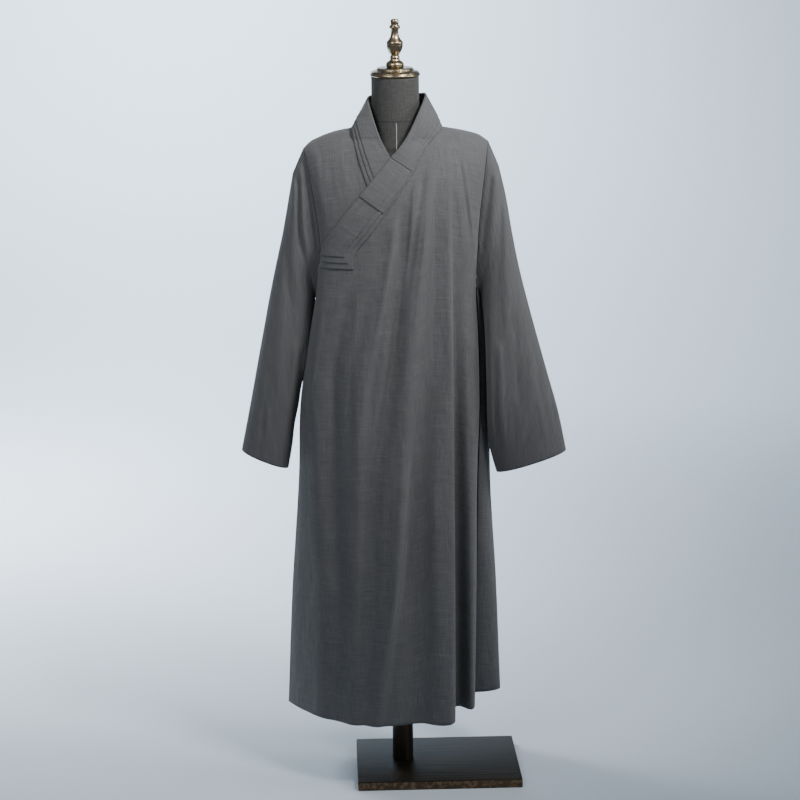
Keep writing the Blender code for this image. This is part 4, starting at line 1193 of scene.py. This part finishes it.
# %% [markdown]
# ## A small way of writing shaders
#
# A shader is arithmetic on what changes over a surface. `Number` wraps one socket, so that an ordinary
# expression such as `1 - mask * 0.3` adds its Math nodes by itself. `Finish` holds a material and adds
# any other node in one way: its type, its settings, then its inputs.


# %% A small way of writing shaders
class Number:
    """A number that changes over a surface, written with ordinary arithmetic."""

    def __init__(self, finish, socket):
        self.finish, self.socket = finish, socket

    def math(self, operation, *values):
        """What a Math node makes of one or two values."""
        made = self.finish.node("Math", {"operation": operation}, dict(enumerate(values)))
        return Number(self.finish, made.outputs[0])

    def __add__(self, other):
        return self.math("ADD", self, other)

    def __sub__(self, other):
        return self.math("SUBTRACT", self, other)

    def __rsub__(self, other):
        return self.math("SUBTRACT", other, self)

    def __mul__(self, other):
        return self.math("MULTIPLY", self, other)

    __radd__, __rmul__ = __add__, __mul__

    def sine(self):
        return self.math("SINE", self)

    def size(self):
        return self.math("ABSOLUTE", self)

    def between(self, low, high):
        """0 below low, 1 above high, and a smooth step between them."""
        inputs = {"Value": self, "From Min": low, "From Max": high}
        made = self.finish.node("MapRange", {"interpolation_type": "SMOOTHSTEP"}, inputs)
        return Number(self.finish, made.outputs["Result"])


class Finish:
    """A material whose nodes are added one at a time."""

    def __init__(self, name, **constants):
        self.material = bpy.data.materials.new(name)
        self.material.use_nodes = True
        self.nodes, self.links = self.material.node_tree.nodes, self.material.node_tree.links
        self.shader = self.nodes["Principled BSDF"]
        self.use(**constants)

    def feed(self, socket, value):
        """Link a socket to what feeds it, or set its constant."""
        if isinstance(value, Number):
            self.links.new(value.socket, socket)
        elif isinstance(value, bpy.types.NodeSocket):
            self.links.new(value, socket)
        else:
            socket.default_value = value

    def node(self, kind, settings, inputs):
        """Any node: its type, its settings, then the values or links of its sockets."""
        made = self.nodes.new("ShaderNode" + kind)
        for key, value in settings.items():
            setattr(made, key, value)
        for socket, value in inputs.items():
            self.feed(made.inputs[socket], value)
        return made

    def place(self):
        """The place on the object, in metres."""
        return self.node("TexCoord", {}, {}).outputs["Object"]

    def parts(self, vector):
        """The three parts of a vector."""
        return [Number(self, part) for part in self.node("SeparateXYZ", {}, {"Vector": vector}).outputs]

    def noise(self, vector, scale, detail=2.0, roughness=0.5, stretch=(1, 1, 1)):
        """Noise on a vector that is stretched first, as a Number from 0 to 1."""
        placed = self.node("Mapping", {}, {"Vector": vector, "Scale": stretch}).outputs[0]
        inputs = {"Vector": placed, "Scale": scale, "Detail": detail, "Roughness": roughness}
        return Number(self, self.node("TexNoise", {}, inputs).outputs["Fac"])

    def mix(self, share, first, second):
        """A colour between two others."""
        made = self.node("Mix", {"data_type": "RGBA"}, {"Factor": share, 6: first, 7: second})
        return made.outputs[2]

    def bump(self, height, distance, strength=1.0, under=None):
        """Bumps of a real height in metres, over those that are already there."""
        inputs = {"Height": height, "Distance": distance, "Strength": strength}
        if under is not None:
            inputs["Normal"] = under
        return self.node("Bump", {}, inputs).outputs[0]

    def use(self, **sockets):
        """Feed the shader's own sockets."""
        for socket, value in sockets.items():
            label = socket.replace("_", " ").title().replace("Ior", "IOR")
            self.feed(self.shader.inputs[label], value)


# %% [markdown]
# ## Robe cloth
#
# The robe is a matt grey cloth of linen and cotton with uneven, slubby yarns. On the cloth map the weft
# and the warp are metres, so the yarns are drawn at their real width: about half a millimetre, with slubs
# some centimetres long, slightly lighter or darker than their neighbours. A little sheen lifts the edges
# of folds.

# %% Robe cloth
YARN = 0.00062
robe = Finish(
    "robe_cloth_finish", roughness=0.92, sheen_weight=0.18, sheen_roughness=0.45, specular_ior_level=0.25
)
cloth_map = robe.node("UVMap", {"uv_map": "cloth"}, {}).outputs[0]
weft, warp, _ = robe.parts(cloth_map)
warp_yarn = robe.noise(cloth_map, 1.0, 1.0, stretch=(900, 26, 1))
weft_yarn = robe.noise(cloth_map, 1.0, 1.0, stretch=(22, 800, 1))
warp_slub = robe.noise(cloth_map, 1.0, 2.0, stretch=(330, 14, 1)).between(0.56, 0.78)
weft_slub = robe.noise(cloth_map, 1.0, 2.0, stretch=(12, 300, 1)).between(0.56, 0.78)
clouds = robe.noise(cloth_map, 9.0, 3.0)
over_under = (weft * (math.pi / YARN)).sine() * (warp * (math.pi / YARN)).sine()
lightness = 0.42 + (warp_yarn - 0.5) * 0.55 + (weft_yarn - 0.5) * 0.60
lightness = lightness + warp_slub * 0.16 + weft_slub * 0.20 + (clouds - 0.5) * 0.25 + over_under * 0.06
shade = lightness.between(0.0, 1.0)
robe.use(base_color=robe.mix(shade, (0.062, 0.063, 0.067, 1), (0.128, 0.129, 0.134, 1)))
handled = robe.noise(cloth_map, 26.0, 3.0, 0.55)
pucker = robe.noise(cloth_map, 1.0, 2.0, stretch=(60, 14, 1))
soft = robe.bump(handled + pucker * 0.8, 0.0034, 0.62)
woven = robe.bump(over_under * 0.5 + warp_slub + weft_slub + warp_yarn * 0.5, 0.00016, 0.8, soft)
robe.use(normal=woven, roughness=0.86 + lightness * 0.12)
print("robe cloth nodes:", len(robe.nodes))

# %% Thread and cord
thread_grey = (0.105, 0.106, 0.111, 1)
thread_finish = Finish("thread_finish", base_color=thread_grey, roughness=0.75, sheen_weight=0.1)
cord_finish = Finish("cord_finish", roughness=0.8, sheen_weight=0.15)
twist = cord_finish.noise(cord_finish.place(), 900.0, 2.0)
cord_finish.use(base_color=cord_finish.mix(twist, (0.060, 0.061, 0.065, 1), (0.125, 0.126, 0.131, 1)))
cord_finish.use(normal=cord_finish.bump(twist, 0.0002, 0.7))
print("threads and cord ready")

# %% [markdown]
# ## Linen of the form
#
# The neck is covered in dark charcoal linen, sewn with one seam round the base of the neck and a pale
# line down the centre of the front, which a dresser uses to centre clothes. Both are places on the
# object, so they are masks made from its coordinates.

# %% Linen of the form
linen = Finish("form_linen_finish", roughness=0.88, sheen_weight=0.12, specular_ior_level=0.3)
place = linen.place()
x, y, z = linen.parts(place)
threads = linen.noise(place, 1.0, 2.0, stretch=(1000, 1000, 60)) * 0.5
threads = threads + linen.noise(place, 1.0, 2.0, stretch=(60, 60, 1100)) * 0.5
across_front = (x + 0.0042).size()
centre_line = (1 - across_front.between(0.0004, 0.0011)) * (1 - z.between(1.456, 1.460))
centre_line = centre_line * (1 - y.between(-0.03, -0.02))
seam_height = (z + y * 0.06 - 1.4575).size()
seam = 1 - seam_height.between(0.0004, 0.0022)
ground = linen.mix(threads.between(0.3, 0.7), (0.030, 0.031, 0.030, 1), (0.062, 0.063, 0.060, 1))
lined = linen.mix(centre_line, ground, (0.34, 0.35, 0.34, 1))
linen.use(base_color=linen.mix(seam * 0.35, lined, (0.014, 0.014, 0.014, 1)))
linen.use(normal=linen.bump(threads - seam * 1.5, 0.0004, 0.7))
print("linen nodes:", len(linen.nodes))

# %% [markdown]
# ## Bronze, paint and wood
#
# The cap and finial are antique bronze: brown where the patina has stayed, golden where hands have rubbed
# it. The post is painted dark with a warm cast under a glossy coat, and faint streaks run down it. The
# board is stained almost black and nearly matt, with a fine grain, and its sides are mottled brown where
# knocks have taken the stain off.

# %% Bronze, paint and wood
bronze = Finish("bronze_finish", metallic=1.0, roughness=0.3)
place = bronze.place()
patina = bronze.noise(place, 260.0, 4.0, 0.6)
rings = bronze.noise(place, 1.0, 1.0, stretch=(20, 20, 1400))
worn = (patina + (rings - 0.5) * 0.3).between(0.30, 0.62)
bronze.use(base_color=bronze.mix(worn, (0.080, 0.060, 0.038, 1), (0.410, 0.330, 0.220, 1)))
bronze.use(roughness=0.38 - worn * 0.12, normal=bronze.bump(patina + rings, 0.0002, 0.35))

paint = Finish("post_paint_finish", roughness=0.30, metallic=0.35, coat_weight=0.5, coat_roughness=0.12)
streaks = paint.noise(paint.place(), 1.0, 3.0, stretch=(120, 120, 3))
streaked = streaks.between(0.35, 0.7)
paint.use(base_color=paint.mix(streaked, (0.045, 0.038, 0.030, 1), (0.120, 0.094, 0.066, 1)))
paint.use(roughness=0.26 + streaks * 0.14)

BOARD_TOP_Z = 0.020
wood = Finish("board_finish", roughness=0.55, specular_ior_level=0.06)
place = wood.place()
height = wood.parts(place)[2]
grain = wood.noise(place, 1.0, 4.0, 0.6, stretch=(7, 150, 150))
rubs = wood.noise(place, 95.0, 4.0, 0.65)
on_sides = (height - BOARD_TOP_Z).size().between(0.0006, 0.0030)
knocked = rubs.between(0.45, 0.62) * on_sides
stained = wood.mix(grain.between(0.35, 0.7), (0.011, 0.009, 0.006, 1), (0.030, 0.023, 0.015, 1))
wood.use(base_color=wood.mix(0.22 * on_sides + knocked * 0.40, stained, (0.215, 0.150, 0.096, 1)))
wood.use(roughness=0.42 + grain * 0.12 + knocked * 0.20, normal=wood.bump(grain, 0.0002, 0.25))
print("bronze, paint and wood ready")

# %% [markdown]
# ## Dressing the frame
#
# Each finished piece now rides on the part's one body and stands for the solid that it dresses, which is
# hidden.
# A table lists, for every panel of cloth, the flat piece that was cut for it and what it hangs on.

# %% Dressing the frame
SEWN = {  # piece: the solid it stands for, the flat piece's width, length and area, and what it rests on
    "front_outer_cloth": ("front_outer", 0.66, 1.35, 0.645, "dress_form"),
    "front_inner_cloth": ("front_inner", 0.57, 1.33, 0.381, "dress_form"),
    "back_right_cloth": ("back_right", 0.37, 1.34, 0.415, "dress_form"),
    "back_left_cloth": ("back_left", 0.39, 1.34, 0.410, "dress_form"),
    "sleeve_right_cloth": ("sleeve_right", 0.67, 0.70, 0.222, "back_right"),
    "sleeve_left_cloth": ("sleeve_left", 0.67, 0.69, 0.214, "back_left"),
    "collar_under_cloth": ("collar_under_band", 1.08, 0.066, 0.070, "front_outer"),
    "collar_middle_cloth": ("collar_middle_band", 1.07, 0.057, 0.060, "collar_under_band"),
    "collar_main_cloth": ("collar_main_band", 1.06, 0.048, 0.050, "collar_middle_band"),
    "collar_patch_upper_cloth": ("collar_patch_upper", 0.060, 0.053, 0.0026, "collar_main_band"),
    "collar_patch_lower_cloth": ("collar_patch_lower", 0.107, 0.061, 0.0062, "collar_main_band"),
}
for name, (node, wide, long, area, carrier) in SEWN.items():
    piece = bpy.data.objects[name]
    piece.data.materials.append(robe.material)
    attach(piece, "root")
    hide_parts(node)
for thread in (thread_outer, thread_backs, thread_cuffs, thread_collar):
    thread.data.materials.append(thread_finish.material)
    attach(thread, "root")
DRESSED = (
    (knot_ball, "closing_knot", cord_finish, "robe_cloth"),
    (knot_loop, "closing_loop", cord_finish, "robe_cloth"),
    (form_linen, "dress_form", linen, "form_linen"),
    (cap_turned, "neck_cap", bronze, "bronze"),
    (finial_turned, "finial", bronze, "bronze"),
    (post_finished, "post", paint, "post_steel"),
    (board_finished, "foot_board", wood, "board_wood"),
)
for piece, node, finish, slot in DRESSED:
    piece.data.materials.append(finish.material)
    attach(piece, "root")
    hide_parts(node)
print("pieces:", len(SEWN) + 4 + len(DRESSED))

# %% [markdown]
# ## A small studio
#
# One pale sheet runs from the floor up far behind the stand, with a wide bend so that no line shows and
# room to look from every side. The key light stands high in front on the right, a weaker one shines from
# the right and a fill from the front left. One light is for the wall and one for the floor. The camera
# looks slightly down from above the finial's height with a long lens.


# %% The backdrop
FLOOR_FRONT_Y, WALL_Y, WALL_TOP_Z, SHEET_HALF_WIDTH, SHEET_BEND = -1.3, 7.4, 8, 6, 3.4
bm = bmesh.new()
corners = (FLOOR_FRONT_Y, 0), (WALL_Y, 0), (WALL_Y, WALL_TOP_Z)
profile = [bm.verts.new((-SHEET_HALF_WIDTH, y, z)) for y, z in corners]
line = [bm.edges.new(pair) for pair in zip(profile, profile[1:])]
swept = bmesh.ops.extrude_edge_only(bm, edges=line)["geom"]
moved = [part for part in swept if isinstance(part, bmesh.types.BMVert)]
bmesh.ops.translate(bm, verts=moved, vec=(2 * SHEET_HALF_WIDTH, 0, 0))
corner = [edge for edge in bm.edges if len(edge.link_faces) == 2]
bmesh.ops.bevel(
    bm,
    geom=corner,
    offset=SHEET_BEND,
    offset_type="OFFSET",
    segments=24,
    profile=0.5,
    affect="EDGES",
    material=-1,
)
bmesh.ops.recalc_face_normals(bm, faces=bm.faces)
backdrop = add_piece("backdrop", mesh_from("backdrop", bm))
paper = Finish("backdrop_finish", base_color=(0.64, 0.73, 0.83, 1), roughness=0.9)
backdrop.data.materials.append(paper.material)


# %% Lights and camera
def soft_light(name, place, target, size, energy, spread, colour):
    """A square soft light that looks at a target and spreads over an angle in degrees."""
    lamp = bpy.data.lights.new(name, "AREA")
    lamp.size, lamp.energy, lamp.color = size, energy, colour
    lamp.spread = math.radians(spread)
    light = bpy.data.objects.new(name, lamp)
    light.location = place
    light.rotation_euler = (Vector(target) - Vector(place)).to_track_quat("-Z", "Y").to_euler()
    bpy.context.scene.collection.objects.link(light)
    print(f"{name}: {energy} W")


soft_light("key_light", (1.2, -1.5, 3.0), (-0.03, 0, 1.66), 0.6, 12.2, 66, (1.0, 0.99, 0.97))
soft_light("right_light", (2.4, -0.5, 2.2), (0.1, 0, 1.15), 1.0, 7.5, 80, (1.0, 1.0, 1.0))
soft_light("fill_light", (-1.5, -2.2, 2.9), (0, 0, 1.60), 1.4, 6.2, 60, (0.99, 0.99, 1.0))
soft_light("back_light", (-1.4, 4.3, 4.9), (-0.7, 6.7, 2.0), 3.0, 350, 115, (0.90, 0.96, 1.0))
soft_light("floor_light", (-2.9, 2.2, 3.3), (-1.5, 2.4, 0.0), 1.6, 122, 80, (0.96, 0.985, 1.0))
world = bpy.data.worlds.new("studio")
world.use_nodes = True
world.node_tree.nodes["Background"].inputs["Color"].default_value = (0.80, 0.86, 0.92, 1)
world.node_tree.nodes["Background"].inputs["Strength"].default_value = 0.22
bpy.context.scene.world = world

FOCAL_PIXELS, CAMERA_HEIGHT, CAMERA_DISTANCE = 1950.0, 1.714, 4.2
PITCH, AZIMUTH, ROLL = math.radians(11.6), math.radians(2.0), math.radians(0.5)
PICTURE_PIXELS, SENSOR_MM = 800, 36
lens = bpy.data.cameras.new("camera")
lens.sensor_width = SENSOR_MM
lens.lens = FOCAL_PIXELS * SENSOR_MM / PICTURE_PIXELS
camera = bpy.data.objects.new("camera", lens)
ahead = Vector((math.sin(AZIMUTH) * math.cos(PITCH), math.cos(AZIMUTH) * math.cos(PITCH), -math.sin(PITCH)))
level = Vector((math.cos(AZIMUTH), -math.sin(AZIMUTH), 0))
upright = level.cross(ahead)
right = level * math.cos(ROLL) - upright * math.sin(ROLL)
up = level * math.sin(ROLL) + upright * math.cos(ROLL)
camera.matrix_world = Matrix(
    (
        (right.x, up.x, -ahead.x, -CAMERA_DISTANCE * math.sin(AZIMUTH)),
        (right.y, up.y, -ahead.y, -CAMERA_DISTANCE * math.cos(AZIMUTH)),
        (right.z, up.z, -ahead.z, CAMERA_HEIGHT),
        (0, 0, 0, 1),
    )
)
bpy.context.scene.collection.objects.link(camera)
bpy.context.scene.camera = camera
print("lens:", round(lens.lens, 2), "mm")
